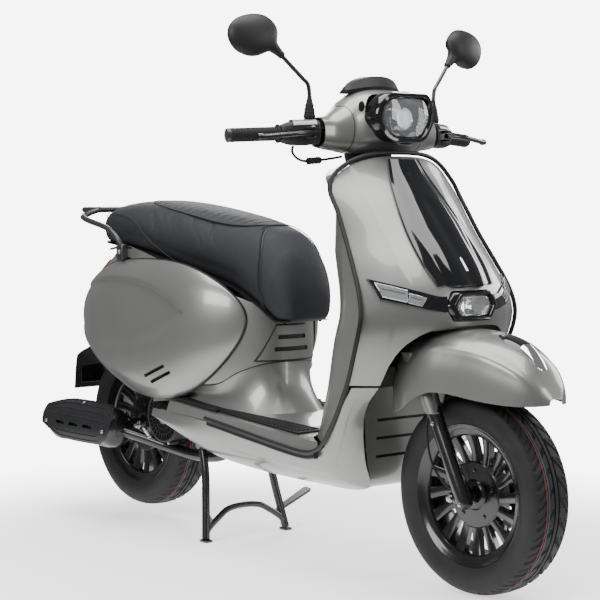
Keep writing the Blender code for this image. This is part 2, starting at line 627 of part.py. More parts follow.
def build_inner_shield():
    def face(s, t):
        top = shield_top(s) - 0.028
        foot = 0.3450 - 0.0165 * abs(s) ** 10
        return inner_point(s, top + (foot - top) * t)

    across = [-1, -0.97, -0.92, -0.85, -0.75, -0.60, -0.35, 0]
    across += [-a for a in reversed(across[:-1])]
    inner = shell("inner_shield", grid_of(face, across, np.linspace(0, 1, 10)), PAINT)
    lock = helper(rod("ignition_hole", (0.15, -0.085, 0.800), (0.36, -0.085, 0.800), 0.0168, None, 20))
    combine(inner, [lock], "DIFFERENCE")

    hinge = Vector((inner_point(0, DOOR_HINGE_Z).x - 0.0080, 0, DOOR_HINGE_Z))

    def door(a, t):
        z = 0.700 - t * 0.200
        return inner_point(a * 0.112 / (smooth_table(SHIELD, z)[2] - 0.005), z)

    shell("glovebox_door", grid_of(door, np.linspace(-1, 1, 9), np.linspace(0, 1, 6)), PAINT,
          inward=-0.0066, outward=0.0096, pivot=hinge)

    outer_bin, hollow_bin = [], []
    for z in (0.512, 0.600, 0.688):
        skin = inner_point(0.42, z).x + 0.0015
        outer_bin.append([Vector((x, y, z)) for x, y in ((skin, -0.101), (0.376, -0.101), (0.376, 0.101), (skin, 0.101))])
    for z in (0.515, 0.600, 0.685):
        hollow_bin.append([Vector((x, y, z)) for x, y in ((0.20, -0.098), (0.373, -0.098), (0.373, 0.098), (0.20, 0.098))])
    combine(inner, [loft("glovebox", outer_bin, None)])
    combine(inner, [loft("glovebox_hollow", hollow_bin, None)], "DIFFERENCE")

    lock_face = inner_point(-0.085 / 0.215, 0.800).x
    rod("ignition_barrel", (lock_face - 0.006, -0.085, 0.800), (lock_face + 0.030, -0.085, 0.800), 0.0160,
        STEEL, 20, (lock_face, -0.085, 0.800))


def rim_path(side):
    """Edge trim of one side, from the floor's rear end up to the middle of the shield's top."""
    points = [(-0.150, 0.1965, 0.348), (0.000, 0.2000, 0.333), (0.180, 0.2080, 0.315), (0.290, 0.2160, 0.310),
              (0.342, 0.2210, 0.326), (0.385, 0.2265, 0.368)]
    for z in (0.43, 0.50, 0.57, 0.62, 0.66, 0.71, 0.77, 0.84, 0.90, 0.94):
        edge, _, half = smooth_table(SHIELD, z)
        points.append((edge + 0.0015, half + 0.0078, z))
    for s in (0.97, 0.90, 0.78, 0.60, 0.40, 0.20):
        p = shield_point(s, shield_top(s))
        points.append((p.x + 0.0010, p.y + 0.0078 * s ** 4, p.z + 0.0086 - 0.003 * s ** 6))
    return [Vector((p[0], side * p[1], p[2])) for p in points]


def build_shield_trim():
    crown = shield_point(0, shield_top(0)) + Vector((0.001, 0, 0.0086))
    points = rim_path(-1) + [crown] + list(reversed(rim_path(1)))
    tube("leg_shield_trim", smooth_path(points, 56), 0.0055, MATTE_BLACK, 6)


# ---- floor and fairings -------------------------------------------------------------------
def floor_height(x, y):
    """Top of the floorboard, which climbs to the plinth around the seat box."""
    flat = 0.341 + 0.030 * min(max((0.250 - x) / 0.450, 0.0), 1.2)
    ahead = max(x + 0.350, 0.0) / (BODY_FRONT_X + 0.350)
    level = (ahead ** 2.6 + (abs(y) / 0.125) ** 2.22) ** (1 / 2.4)
    rise = min(max(1 - (level - 1) / 0.13, 0.0), 1.0)
    rise = rise * rise * (3 - 2 * rise)
    return flat + (0.490 - flat) * rise


def floor_half(x):
    return 0.206 - 0.032 * (0.300 - x) - 0.070 * max(-0.200 - x, 0.0)


def floor_point(x, s):
    half = floor_half(x) - 0.006
    y = s * half
    return Vector((x, y, floor_height(x, y) - 0.018 * abs(s) ** 10))


def build_floor():
    across = [-1, -0.97, -0.9, -0.8, -0.72, -0.64, -0.56, -0.46, -0.3, -0.12]
    across += [-a for a in reversed(across)]
    front = []
    for s in across:
        front.append(inner_point(s * 0.96, 0.346).x - 0.004)
    grid = []
    for t in np.linspace(0, 1, 15):
        grid.append([floor_point(end + (-0.355 - end) * t, s) for s, end in zip(across, front)])
    floor = shell("floorboard", grid, PAINT)
    opening = helper(box("seat_box_opening", (-0.60, -0.112, 0.30), (-0.062, 0.112, 0.60), None))
    combine(floor, [opening], "DIFFERENCE")

    for label, side in SIDES:
        def mat(a, t, side=side):
            x = 0.215 - t * 0.365
            inner_y = 0.098 + 0.045 * t
            outer_y = floor_half(x) - 0.024
            y = side * (inner_y + (outer_y - inner_y) * a)
            return Vector((x, y, floor_height(x, y)))

        shell("floor_mat_" + label, grid_of(mat, np.linspace(0, 1, 5), np.linspace(0, 1, 9)), RUBBER,
              inward=-GAP, outward=0.004, flip=side < 0)


def build_fairing():
    for label, side in SIDES:
        top = smooth_path(FAIRING_TOP, 16)
        low = smooth_path(FAIRING_LOW, 16)

        def face(a, t, top=top, low=low, side=side):
            p = top[int(t)].lerp(low[int(t)], a)
            bulge = 0.016 * math.sin(a * math.pi) * min(t / 4, 1)
            return Vector((p.x, side * (p.y + bulge), p.z - bulge * 0.7))

        shell("side_fairing_" + label, grid_of(face, np.linspace(0, 1, 6), range(16)), PAINT,
              inward=SHEET, flip=side < 0)

    path = smooth_path([(-0.225, 0, 0.238), (-0.10, 0, 0.2255), (0.100, 0, 0.2145), (0.340, 0, 0.2145),
                        (0.384, 0, 0.2300), (0.398, 0, 0.2700), (0.404, 0, 0.3700), (0.416, 0, 0.4700)], 18)
    grid = []
    for p in path:
        rise = min(max((p.z - 0.235) / 0.05, 0.0), 1.0)
        half = 0.094 + (0.020 + 0.14 * max(p.z - 0.285, 0.0)) * rise
        grid.append([Vector((p.x, a * half, p.z)) for a in np.linspace(-1, 1, 5)])
    shell("belly_pan", grid, PAINT, inward=SHEET)


# ---- rear body ------------------------------------------------------------------------------
def body_half(x, z):
    """Half width of the rear body at a place in side view."""
    half, tail = smooth_table(BODY, z)
    if x > -0.350:
        t = min(max((x + 0.350) / (BODY_FRONT_X + 0.350), 0.0), 1.0)
        return half * (1 - t ** 2.6) ** 0.45
    t = min(max((-0.450 - x) / (-0.450 - tail), 0.0), 1.0)
    return half * (1 - t ** 2.6) ** 0.5


def seat_line(x):
    """Height of the body's upper edge under the seat."""
    table = ((-0.950, 0.760), (-0.740, 0.792), (-0.600, 0.784), (-0.450, 0.764), (-0.280, 0.732),
             (-0.120, 0.680), (0.000, 0.628), (0.080, 0.620))
    return smooth_table(table, x)[0] - 0.003


def foot_line(x):
    """Height of the body's lower edge, above the floorboard's plinth and then to the tail."""
    table = ((-0.950, 0.548), (-0.880, 0.536), (-0.840, 0.512), (-0.700, 0.465), (-0.500, 0.432), (-0.300, 0.428),
             (-0.160, 0.434), (-0.090, 0.472), (-0.030, 0.497), (0.080, 0.498))
    return smooth_table(table, x)[0]


def around_body(turn, z):
    """Point of the body's plan outline; turn 0 is the front middle, pi the tail middle."""
    half, tail = smooth_table(BODY, z)
    c = math.cos(turn)
    reach = BODY_FRONT_X + 0.400 if c > 0 else -0.400 - tail
    x = -0.400 + reach * math.copysign(abs(c) ** 0.80, c)
    return Vector((x, math.copysign(1, math.sin(turn)) * body_half(x, z), z))


def build_rear_body():
    turns = [2 * math.pi * i / 36 for i in range(36)]
    grid = []
    for t in np.linspace(0, 1, 7):
        ring = []
        for turn in turns:
            x = around_body(turn, 0.62).x
            high, low = seat_line(x), foot_line(x)
            ring.append(around_body(turn, high + (low - high) * t))
        grid.append(ring)
    shell("rear_body", grid, PAINT, inward=SHEET, flip=True, wrap=True)


COWL_CENTRE = (-0.430, 0.575)


def cowl_outline(turn):
    """Teardrop of the side cowl in side view: pointed low at the middle, round at the tail."""
    c, s = math.cos(turn), math.sin(turn)
    if s >= 0:
        reach_x = 0.355 if c > 0 else 0.440
        x = COWL_CENTRE[0] + reach_x * math.copysign(abs(c) ** 0.92, c)
        z = COWL_CENTRE[1] + 0.030 + 0.152 * s ** 0.95
    else:
        reach_x = 0.355 if c > 0 else 0.440
        x = COWL_CENTRE[0] + reach_x * math.copysign(abs(c) ** 1.05, c)
        z = COWL_CENTRE[1] + 0.030 - 0.232 * abs(s) ** 1.12
    return x, z


def cowl_point(ring, turn, proud=0.0):
    x, z = cowl_outline(turn)
    x = COWL_CENTRE[0] + (x - COWL_CENTRE[0]) * ring
    z = COWL_CENTRE[1] + (z - COWL_CENTRE[1]) * ring
    half = body_half(x, max(z, 0.400)) - 0.35 * max(0.400 - z, 0.0)
    return Vector((x, half + proud, z))


def build_cowls():
    turns = [2 * math.pi * i / 24 for i in range(24)]
    rings = (0.02, 0.35, 0.62, 0.82, 0.93, 1.0)
    for label, side in SIDES:
        outer = [[mirrored([cowl_point(r, a, 0.0085)], side)[0] for a in turns] for r in rings]
        inner = [[mirrored([cowl_point(r, a, 0.0050)], side)[0] for a in turns] for r in rings]
        verts = [p for ring in outer + inner for p in ring]
        faces = [tuple(range(24))]
        for i in range(len(rings) - 1):
            for j in range(24):
                k = (j + 1) % 24
                a, b = i * 24, (i + 1) * 24
                faces.append((a + j, a + k, b + k, b + j))
        off = 24 * len(rings)
        faces += [tuple(v + off for v in face) for face in list(faces)]
        last = 24 * (len(rings) - 1)
        faces += [(last + j, last + (j + 1) % 24, off + last + (j + 1) % 24, off + last + j) for j in range(24)]
        add_mesh("side_cowl_" + label, verts, faces, PAINT)


def tail_point(turn, z, proud):
    p = around_body(turn, z)
    out = Vector((p.x + 0.45, p.y * 0.6, 0)).normalized()
    return p + out * proud


def build_tail():
    turns = [math.pi + a for a in np.linspace(-0.34, 0.34, 9)]
    grid = [[tail_point(turn, z, 0.0) for turn in turns] for z in np.linspace(0.735, 0.655, 5)]
    shell("tail_light", grid, RED, inward=-0.002, outward=0.014, flip=True)

    path = smooth_path([(TAIL_END + 0.0015, 0, 0.352), (-0.924, 0, 0.450), (-0.880, 0, 0.530), (-0.806, 0, 0.584),
                        (-0.690, 0, 0.6085), (-0.560, 0, 0.590), (-0.490, 0, 0.560)], 14)
    grid = []
    for p in path:
        half = 0.098 if p.z < 0.470 else (0.050 if p.x < -0.860 else 0.074)
        grid.append([Vector((p.x, a * half, p.z)) for a in (-1, -0.5, 0, 0.5, 1)])
    shell("rear_mudguard", grid, MATTE_BLACK, inward=0.0015, outward=0.0015)


# ---- seat, rack, storage ----------------------------------------------------------------------
def seat_ring(x, low, high, half, count=16, power=0.72):
    middle, up = (low + high) / 2, (high - low) / 2
    ring = []
    for t in np.linspace(0, 2 * math.pi, count, endpoint=False):
        c, s = math.cos(t), math.sin(t)
        z = middle + up * math.copysign(abs(s) ** power, s)
        narrow = 1.0 - 0.10 * max(s, 0.0)
        ring.append(Vector((x, half * narrow * math.copysign(abs(c) ** power, c), z)))
    return ring


def build_seat():
    rings = [seat_ring(x, low, high, half) for x, low, high, half in SEAT]
    loft("seat_cushion", rings, VINYL, SEAT_HINGE)
    shell_box = box("storage_bucket", (-0.430, -0.085, 0.505), (-0.110, 0.085, 0.672), MATTE_BLACK)
    hollow = helper(box("bucket_hollow", (-0.427, -0.082, 0.508), (-0.113, 0.082, 0.720), None))
    combine(shell_box, [hollow], "DIFFERENCE")


def build_rack():
    """Tubular carrier: one loop with slats, an arm on each side and two brackets."""
    loop_z = 0.889
    corner, nose = 0.100, 0.085
    loop = [(-0.795, -corner, loop_z), (-0.875, -corner, loop_z), (-0.898, -corner + 0.022, loop_z)]
    loop += [(x, -y, z) for x, y, z in reversed(loop)]
    rack = tube("rear_rack", loop, 0.0085, GREY_METAL, 10)
    joined = [tube("rack_front", ((-0.800, -corner, loop_z), (-0.800, corner, loop_z)), 0.0075, None, 8)]
    for y in np.linspace(-nose + 0.02, nose - 0.02, 4):
        joined.append(box("slat", (-0.897, y - 0.006, loop_z - 0.003), (-0.797, y + 0.006, loop_z + 0.003), None))
    for label, side in SIDES:
        arm = [(-0.800, side * corner, loop_z), (-0.802, side * 0.128, 0.880), (-0.790, side * 0.158, 0.868),
               (-0.640, side * 0.172, 0.838), (-0.600, side * 0.170, 0.815), (-0.585, side * 0.163, 0.790)]
        joined.append(tube("rack_arm_" + label, arm, 0.0082, None, 8))
        joined.append(box("rack_foot_" + label, (-0.602, min(side * 0.150, side * 0.173), 0.752),
                          (-0.570, max(side * 0.150, side * 0.173), 0.794), None))
    combine(rack, joined)


# ---- frame -----------------------------------------------------------------------------------
def build_frame():
    """Steel tube frame with the steering head, and the pivots of the engine and the stand."""
    head = rod("frame", steer_at(0.650), steer_at(0.950), 0.0260, BLACK_METAL, 20)
    spine = ((0.446, 0, 0.690), (0.430, 0, 0.600), (0.402, 0, 0.520), (0.386, 0, 0.450), (0.370, 0, 0.360),
             (0.340, 0, 0.302), (0.270, 0, 0.280), (-0.100, 0, 0.285))
    joined = [tube("spine", smooth_path(spine, 13), 0.0170, None, 8)]
    joined.append(rod("cross_front", (-0.100, -0.104, 0.285), (-0.100, 0.104, 0.285), 0.0130, None, 12))
    joined.append(rod("engine_bolt", (ENGINE_PIVOT.x, -0.100, ENGINE_PIVOT.z), (ENGINE_PIVOT.x, 0.100, ENGINE_PIVOT.z),
                      0.0100, None, 16))
    joined.append(rod("cross_rear", (-0.762, -0.100, 0.654), (-0.762, 0.100, 0.654), 0.0100, None, 10))
    for _, side in SIDES:
        rail = ((-0.100, side * 0.100, 0.285), (-0.130, side * 0.100, 0.350), (-0.240, side * 0.100, 0.430),
                (-0.400, side * 0.100, 0.515), (-0.560, side * 0.100, 0.600), (-0.690, side * 0.100, 0.640),
                (-0.770, side * 0.100, 0.654))
        joined.append(tube("rail", smooth_path(rail, 10), 0.0120, None, 8))
        arm = ((-0.100, side * 0.078, 0.285), (-0.250, side * 0.078, 0.266), (-0.283, side * 0.078, 0.255))
        joined.append(tube("stand_arm", arm, 0.0100, None, 8))
        joined.append(rod("stand_bolt", (STAND_PIVOT.x, side * 0.075, STAND_PIVOT.z),
                          (STAND_PIVOT.x, side * 0.1185, STAND_PIVOT.z), 0.0080, None, 14))
    joined.append(box("shock_bracket", (SHOCK_X - 0.012, 0.088, SHOCK_TOP_Z - 0.010),
                      (SHOCK_X + 0.012, 0.094, SHOCK_TOP_Z + 0.036), None))
    joined.append(rod("shock_bolt", (SHOCK_X, 0.090, SHOCK_TOP_Z), (SHOCK_X, 0.126, SHOCK_TOP_Z), 0.0050, None, 12))
    combine(head, joined)
    bore = helper(rod("head_bore", steer_at(0.600), steer_at(0.990), 0.0167, None, 20))
    combine(head, [bore], "DIFFERENCE")


# ---- engine, exhaust, suspension -------------------------------------------------------------
def build_engine():
    """Swinging engine: fan side on the right, belt case on the left, axle at the rear."""
    rings = []
    for y, scale in ((0.068, 0.96), (0.117, 0.96), (0.124, 0.86)):
        ring = []
        for a in np.linspace(math.pi / 2, 3 * math.pi / 2, 10):
            r = 0.065 * scale
            ring.append(Vector((REAR_AXLE.x + r * math.cos(a), y, REAR_AXLE.z + r * math.sin(a))))
        for a in np.linspace(-math.pi / 2, math.pi / 2, 10):
            r = 0.073 * scale
            ring.append(Vector((-0.392 + r * math.cos(a), y, 0.310 + r * math.sin(a))))
        rings.append(ring)
    engine = loft("engine_unit", rings, GREY_METAL, ENGINE_PIVOT)
    fan = ((-0.068, 0.073), (0.0, 0.068), (0.0, 0.030), (-0.068, 0.030))
    joined = [turned("fan_housing", fan, (-0.430, -0.067, 0.320), (0, 1, 0), None, 24)]
    joined.append(box("crankcase", (-0.422, -0.082, 0.265), (-0.305, 0.072, 0.368), None))
    joined.append(rod("cylinder", (-0.320, 0, 0.328), (-0.165, 0, 0.328), 0.043, None, 20))
    joined.append(rod("axle_stub", (REAR_AXLE.x, -0.034, REAR_AXLE.z), (REAR_AXLE.x, 0.080, REAR_AXLE.z), 0.0088, None, 16))
    joined.append(tube("pivot_arm", ((-0.250, 0, 0.412), (-0.345, 0, 0.350)), 0.0160, None, 10))
    joined.append(rod("pivot_boss", (ENGINE_PIVOT.x, -0.030, ENGINE_PIVOT.z), (ENGINE_PIVOT.x, 0.030, ENGINE_PIVOT.z),
                      0.0210, None, 18))
    joined.append(box("shock_lug", (SHOCK_X - 0.012, 0.1195, SHOCK_LOW_Z - 0.050),
                      (SHOCK_X + 0.012, 0.131, SHOCK_LOW_Z + 0.010), None))
    joined.append(rod("lug_bolt", (SHOCK_X, 0.094, SHOCK_LOW_Z), (SHOCK_X, 0.127, SHOCK_LOW_Z), 0.0050, None, 12))
    combine(engine, joined)
    bore = helper(rod("pivot_bore", (ENGINE_PIVOT.x, -0.050, ENGINE_PIVOT.z), (ENGINE_PIVOT.x, 0.050, ENGINE_PIVOT.z),
                      0.0106, None, 18))
    combine(engine, [bore], "DIFFERENCE")

    route = ((-0.222, -0.030, 0.272), (-0.262, -0.050, 0.224), (-0.360, -0.064, 0.212), (-0.470, -0.086, 0.226),
             (-0.550, -0.128, 0.250), (-0.625, -0.165, 0.268))
    exhaust = tube("exhaust", smooth_path(route, 16), 0.0130, BLACK_METAL, 12, ENGINE_PIVOT)
    spots = ((-0.585, 0.020), (-0.600, 0.044), (-0.622, 0.056), (-0.880, 0.058), (-0.902, 0.050), (-0.915, 0.026))
    muffler = tube("muffler", [(x, -0.165, 0.270) for x, _ in spots], [r for _, r in spots], None, 18)
    combine(exhaust, [muffler])

    def guard(a, t):
        angle = math.radians(-42 + 118 * a)
        x = -0.560 - 0.340 * t + 0.020 * math.cos(a * math.pi)
        return Vector((x, -0.165 - 0.0595 * math.cos(angle), 0.270 + 0.0595 * math.sin(angle)))

    shell("heat_shield", grid_of(guard, np.linspace(0, 1, 9), np.linspace(0, 1, 6)), MATTE_BLACK,
          inward=-GAP, outward=0.003, pivot=ENGINE_PIVOT)

    kick = rod("kick_lever", (-0.470, 0.1260, 0.300), (-0.470, 0.142, 0.300), 0.0120, STEEL, 16, (-0.470, 0.134, 0.300))
    lever = tube("kick_arm", ((-0.470, 0.136, 0.300), (-0.560, 0.139, 0.312), (-0.640, 0.150, 0.322)), 0.0055, None, 8)
    pedal = rod("kick_pedal", (-0.640, 0.145, 0.322), (-0.640, 0.188, 0.322), 0.0085, None, 12)
    combine(kick, [lever, pedal])


def build_shock():
    top, low = Vector((SHOCK_X, SHOCK_Y, SHOCK_TOP_Z)), Vector((SHOCK_X, SHOCK_Y, SHOCK_LOW_Z))
    half = Vector((0, 0.010, 0))
    body = rod("shock_body", top - half, top + half, 0.0130, BLACK_METAL, 16, top)
    tube_low = top - Vector((0, 0, 0.140))
    joined = [rod("damper", top - Vector((0, 0, 0.004)), tube_low, 0.0120, None, 14),
              rod("perch_top", top - Vector((0, 0, 0.018)), top - Vector((0, 0, 0.022)), 0.0225, None, 20)]
    combine(body, joined)
    cuts = [helper(rod("eye_bore", top - half * 2, top + half * 2, 0.0056, None, 14)),
            helper(rod("damper_bore", top - Vector((0, 0, 0.040)), tube_low - Vector((0, 0, 0.02)), 0.0066, None, 14))]
    combine(body, cuts, "DIFFERENCE")
    shaft = rod("shock_rod", low - half, low + half, 0.0120, STEEL, 16, low)
    joined = [rod("piston_rod", low + Vector((0, 0, 0.004)), low + Vector((0, 0, 0.140)), 0.0058, None, 14),
              rod("perch_low", low + Vector((0, 0, 0.026)), low + Vector((0, 0, 0.030)), 0.0225, None, 20)]
    combine(shaft, joined)
    cut = helper(rod("low_bore", low - half * 2, low + half * 2, 0.0056, None, 14))
    combine(shaft, [cut], "DIFFERENCE")
    high_z, low_z, turns = SHOCK_TOP_Z - 0.0275, SHOCK_LOW_Z + 0.0355, 6.5
    coil = []
    for i in range(72):
        a = 2 * math.pi * turns * i / 71
        coil.append((SHOCK_X + 0.0172 * math.cos(a), SHOCK_Y + 0.0172 * math.sin(a), high_z + (low_z - high_z) * i / 71))
    tube("shock_spring", coil, 0.0045, STEEL, 5, top)


# ---- stand --------------------------------------------------------------------------------------
def build_stand():
    """Centre stand: an eye, a leg and a flat foot on each side, a hoop between, a tang at the left."""
    stand = None
    joined = []
    for _, side in SIDES:
        eye = rod("center_stand", (STAND_PIVOT.x, side * 0.094, STAND_PIVOT.z), (STAND_PIVOT.x, side * 0.1165, STAND_PIVOT.z),
                  0.0170, BLACK_METAL if stand is None else None, 18, STAND_PIVOT)
        leg = tube("stand_leg", ((STAND_PIVOT.x, side * 0.106, STAND_PIVOT.z - 0.006), (-0.262, side * 0.112, 0.185),
                                 (-0.2240, side * 0.1390, 0.0032)), 0.0110, None, 10)
        foot = box("stand_foot", (-0.2400, min(side * 0.128, side * 0.150), 0.0),
                   (-0.2080, max(side * 0.128, side * 0.150), 0.0060), None)
        if stand is None:
            stand = eye
        else:
            joined.append(eye)
        joined += [leg, foot]
    hoop = ((-0.227, -0.136, 0.024), (-0.228, -0.120, 0.040), (-0.231, -0.090, 0.060), (-0.236, -0.055, 0.078),
            (-0.238, 0.0, 0.084), (-0.236, 0.055, 0.078), (-0.231, 0.090, 0.060), (-0.228, 0.120, 0.040),
            (-0.227, 0.136, 0.024))
    joined.append(tube("stand_hoop", hoop, 0.0085, None, 8))
    tang = [Vector(p) for p in ((-0.236, 0.130, 0.050), (-0.222, 0.240, 0.100), (-0.262, 0.240, 0.100),
                                (-0.262, 0.130, 0.050))]
    joined.append(loft("stand_tang", [tang, [p + Vector((0, 0, 0.007)) for p in tang]], None))
    combine(stand, joined)
    cuts = [helper(rod("stand_bore", (STAND_PIVOT.x, side * 0.060, STAND_PIVOT.z), (STAND_PIVOT.x, side * 0.150, STAND_PIVOT.z),
                       0.0086, None, 14)) for _, side in SIDES]
    combine(stand, cuts, "DIFFERENCE")


clear_scene()
ROOT = bpy.data.objects.new("scooter", None)
ROOT.location = (ROOT_SHIFT, 0.0, 0.0)
bpy.context.scene.collection.objects.link(ROOT)
for build in (build_wheels, build_fork, build_fender, build_headset, build_handlebar, build_mirrors,
              build_throttle_cable, build_leg_shield, build_inner_shield, build_shield_trim, build_floor,
              build_fairing, build_rear_body, build_cowls, build_tail, build_seat, build_rack, build_frame,
              build_engine, build_shock, build_stand):
    build()
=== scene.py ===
"""Looks of the moped scooter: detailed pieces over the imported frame, materials, light and camera."""
from math import copysign, cos, exp, pi, radians, sin, sqrt

import bmesh
import bpy
import numpy as np
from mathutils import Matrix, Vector


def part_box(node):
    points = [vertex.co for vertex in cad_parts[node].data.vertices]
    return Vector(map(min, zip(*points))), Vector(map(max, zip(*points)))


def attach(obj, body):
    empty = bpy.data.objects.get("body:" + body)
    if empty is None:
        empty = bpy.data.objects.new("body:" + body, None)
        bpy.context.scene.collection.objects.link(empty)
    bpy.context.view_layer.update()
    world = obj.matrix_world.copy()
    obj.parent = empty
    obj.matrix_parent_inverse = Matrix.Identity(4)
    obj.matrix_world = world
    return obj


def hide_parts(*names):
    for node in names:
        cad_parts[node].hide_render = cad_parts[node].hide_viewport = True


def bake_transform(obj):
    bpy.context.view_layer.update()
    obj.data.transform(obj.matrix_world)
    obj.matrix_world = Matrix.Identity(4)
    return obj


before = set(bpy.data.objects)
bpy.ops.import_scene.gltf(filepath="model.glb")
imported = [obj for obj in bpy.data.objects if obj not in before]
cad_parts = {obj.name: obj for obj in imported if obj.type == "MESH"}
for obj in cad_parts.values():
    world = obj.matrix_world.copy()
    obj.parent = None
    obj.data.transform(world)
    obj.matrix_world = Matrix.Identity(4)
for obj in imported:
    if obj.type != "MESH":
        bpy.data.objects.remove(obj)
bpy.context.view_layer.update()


def vec(*parts):
    return Vector(parts)


WHEELBASE = 1.350
front_low, front_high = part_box("front_tyre")
# the pieces are drawn from the middle of the wheelbase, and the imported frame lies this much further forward
SHIFT = (front_low[0] + front_high[0]) / 2 - WHEELBASE / 2
TYRE_R = (front_high[2] - front_low[2]) / 2
CASTER = radians(27)
FRONT = vec(WHEELBASE / 2, 0, (front_low[2] + front_high[2]) / 2)
rear_low, rear_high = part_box("rear_tyre")
REAR = vec(-WHEELBASE / 2, 0, (rear_low[2] + rear_high[2]) / 2)
UP = vec(-sin(CASTER), 0, cos(CASTER))
LEG_FOOT = vec(FRONT.x + 0.033, 0, FRONT.z)
STEER = LEG_FOOT - vec(cos(CASTER), 0, sin(CASTER)) * 0.030
SIDES = (("right", -1), ("left", 1))
X_AXIS, Y_AXIS, Z_AXIS = (1, 0, 0), (0, 1, 0), (0, 0, 1)
SHARP = 38  # degrees; steeper edges stay crisp


# ---- mesh tools -------------------------------------------------------------------------
def clamp(value):
    return min(max(value, 0.0), 1.0)


def unit(count):
    return np.linspace(0, 1, count)


def centred(count):
    return np.linspace(-1, 1, count)


def eased(count):
    """From -1 to 1, closer together at the ends."""
    return np.sin(np.linspace(-pi / 2, pi / 2, count))


def circle(count):
    return np.linspace(0, 2 * pi, count, endpoint=False)


def power_of(value, power):
    """Power that keeps the sign."""
    return copysign(abs(value) ** power, value)


def soften_edges(obj, width, sharp):
    mod = obj.modifiers.new("edge", "BEVEL")
    mod.width = width
    mod.segments = 2
    mod.limit_method = "ANGLE"
    mod.angle_limit = radians(sharp)


def table(rows, at):
    """Every later column of a station table at a first-column value, on a smooth curve."""
    rows = np.array(sorted(rows), dtype=float)
    key = rows[:, 0]
    at = min(max(at, key[0]), key[-1])
    i = min(max(int(np.searchsorted(key, at)) - 1, 0), len(key) - 2)
    h = key[i + 1] - key[i]
    t = (at - key[i]) / h
    before = rows[i - 1] if i > 0 else 2 * rows[i] - rows[i + 1]
    after = rows[i + 2] if i + 2 < len(rows) else 2 * rows[i + 1] - rows[i]
    m0 = (rows[i + 1] - before) / (key[i + 1] - before[0]) * h
    m1 = (after - rows[i]) / (after[0] - key[i]) * h
    out = ((2 * t**3 - 3 * t**2 + 1) * rows[i] + (t**3 - 2 * t**2 + t) * m0
           + (-2 * t**3 + 3 * t**2) * rows[i + 1] + (t**3 - t**2) * m1)
    return out[1:]


def path(points, count):
    pts = np.array([tuple(p) for p in points], dtype=float)
    chord = np.r_[0.0, np.cumsum(np.linalg.norm(np.diff(pts, axis=0), axis=1))]
    rows = [(c, *p) for c, p in zip(chord, pts)]
    return [Vector(table(rows, c)) for c in np.linspace(0.0, chord[-1], count)]


def make(name, verts, faces, look, body, nodes=(), sharp=SHARP, bevel=0.0, sub=0):
    """One piece in wheelbase stations, riding on a body and standing for CAD nodes."""
    mesh = bpy.data.meshes.new(name)
    mesh.from_pydata([(v[0] + SHIFT, v[1], v[2]) for v in verts], [], [tuple(f) for f in faces])
    bm = bmesh.new()
    bm.from_mesh(mesh)
    bmesh.ops.remove_doubles(bm, verts=bm.verts, dist=1e-6)
    bmesh.ops.recalc_face_normals(bm, faces=bm.faces)
    bm.to_mesh(mesh)
    bm.free()
    mesh.shade_smooth()
    mesh.set_sharp_from_angle(angle=radians(sharp))
    obj = bpy.data.objects.new(name, mesh)
    bpy.context.scene.collection.objects.link(obj)
    if look:
        mesh.materials.append(look)
    if bevel:
        soften_edges(obj, bevel, sharp)
    if sub:
        mod = obj.modifiers.new("smooth", "SUBSURF")
        mod.levels = sub
        mod.render_levels = sub
    if body:
        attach(obj, body)
    if nodes:
        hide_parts(*nodes)
    return obj


def loft(name, rings, look, body=None, nodes=(), closed=False, **extra):
    count = len(rings[0])
    verts = [p for ring in rings for p in ring]
    faces = []
    for i in range(len(rings) if closed else len(rings) - 1):
        a, b = i * count, ((i + 1) % len(rings)) * count
        for j in range(count):
            k = (j + 1) % count
            faces.append((a + j, a + k, b + k, b + j))
    if not closed:
        faces.append(tuple(range(count)))
        faces.append(tuple(range(len(verts) - count, len(verts))))
    return make(name, verts, faces, look, body, nodes, **extra)


def frames_along(points):
    side = None
    out = []
    for i in range(len(points)):
        tangent = (points[min(i + 1, len(points) - 1)] - points[max(i - 1, 0)]).normalized()
        side = tangent.orthogonal() if side is None else side - tangent * side.dot(tangent)
        side = side.normalized()
        out.append((side, tangent.cross(side)))
    return out


def tube(name, points, radius, look, body=None, nodes=(), sides=20, **extra):
    points = [Vector(p) for p in points]
    radii = radius if hasattr(radius, "__len__") else [radius] * len(points)
    rings = []
    for (side, up), p, r in zip(frames_along(points), points, radii):
        rings.append([p + side * cos(a) * r + up * sin(a) * r
                      for a in circle(sides)])
    return loft(name, rings, look, body, nodes, **extra)


def turned(name, profile, centre, axis, look, body=None, nodes=(), steps=64, span=(0.0, 360.0), **extra):
    """Closed profile of (along, radius) turned about an axis, all the way or over a span of degrees."""
    axis, centre = Vector(axis).normalized(), Vector(centre)
    side = vec(0, 0, 1) if abs(axis.z) < 0.9 else vec(1, 0, 0)
    side = (side - axis * side.dot(axis)).normalized()
    up = axis.cross(side)
    full = span[1] - span[0] >= 360
    rings = []
    for a in np.radians(np.linspace(span[0], span[1], steps, endpoint=not full)):
        out = side * cos(a) + up * sin(a)
        rings.append([centre + axis * along + out * r for along, r in profile])
    return loft(name, rings, look, body, nodes, closed=full, **extra)


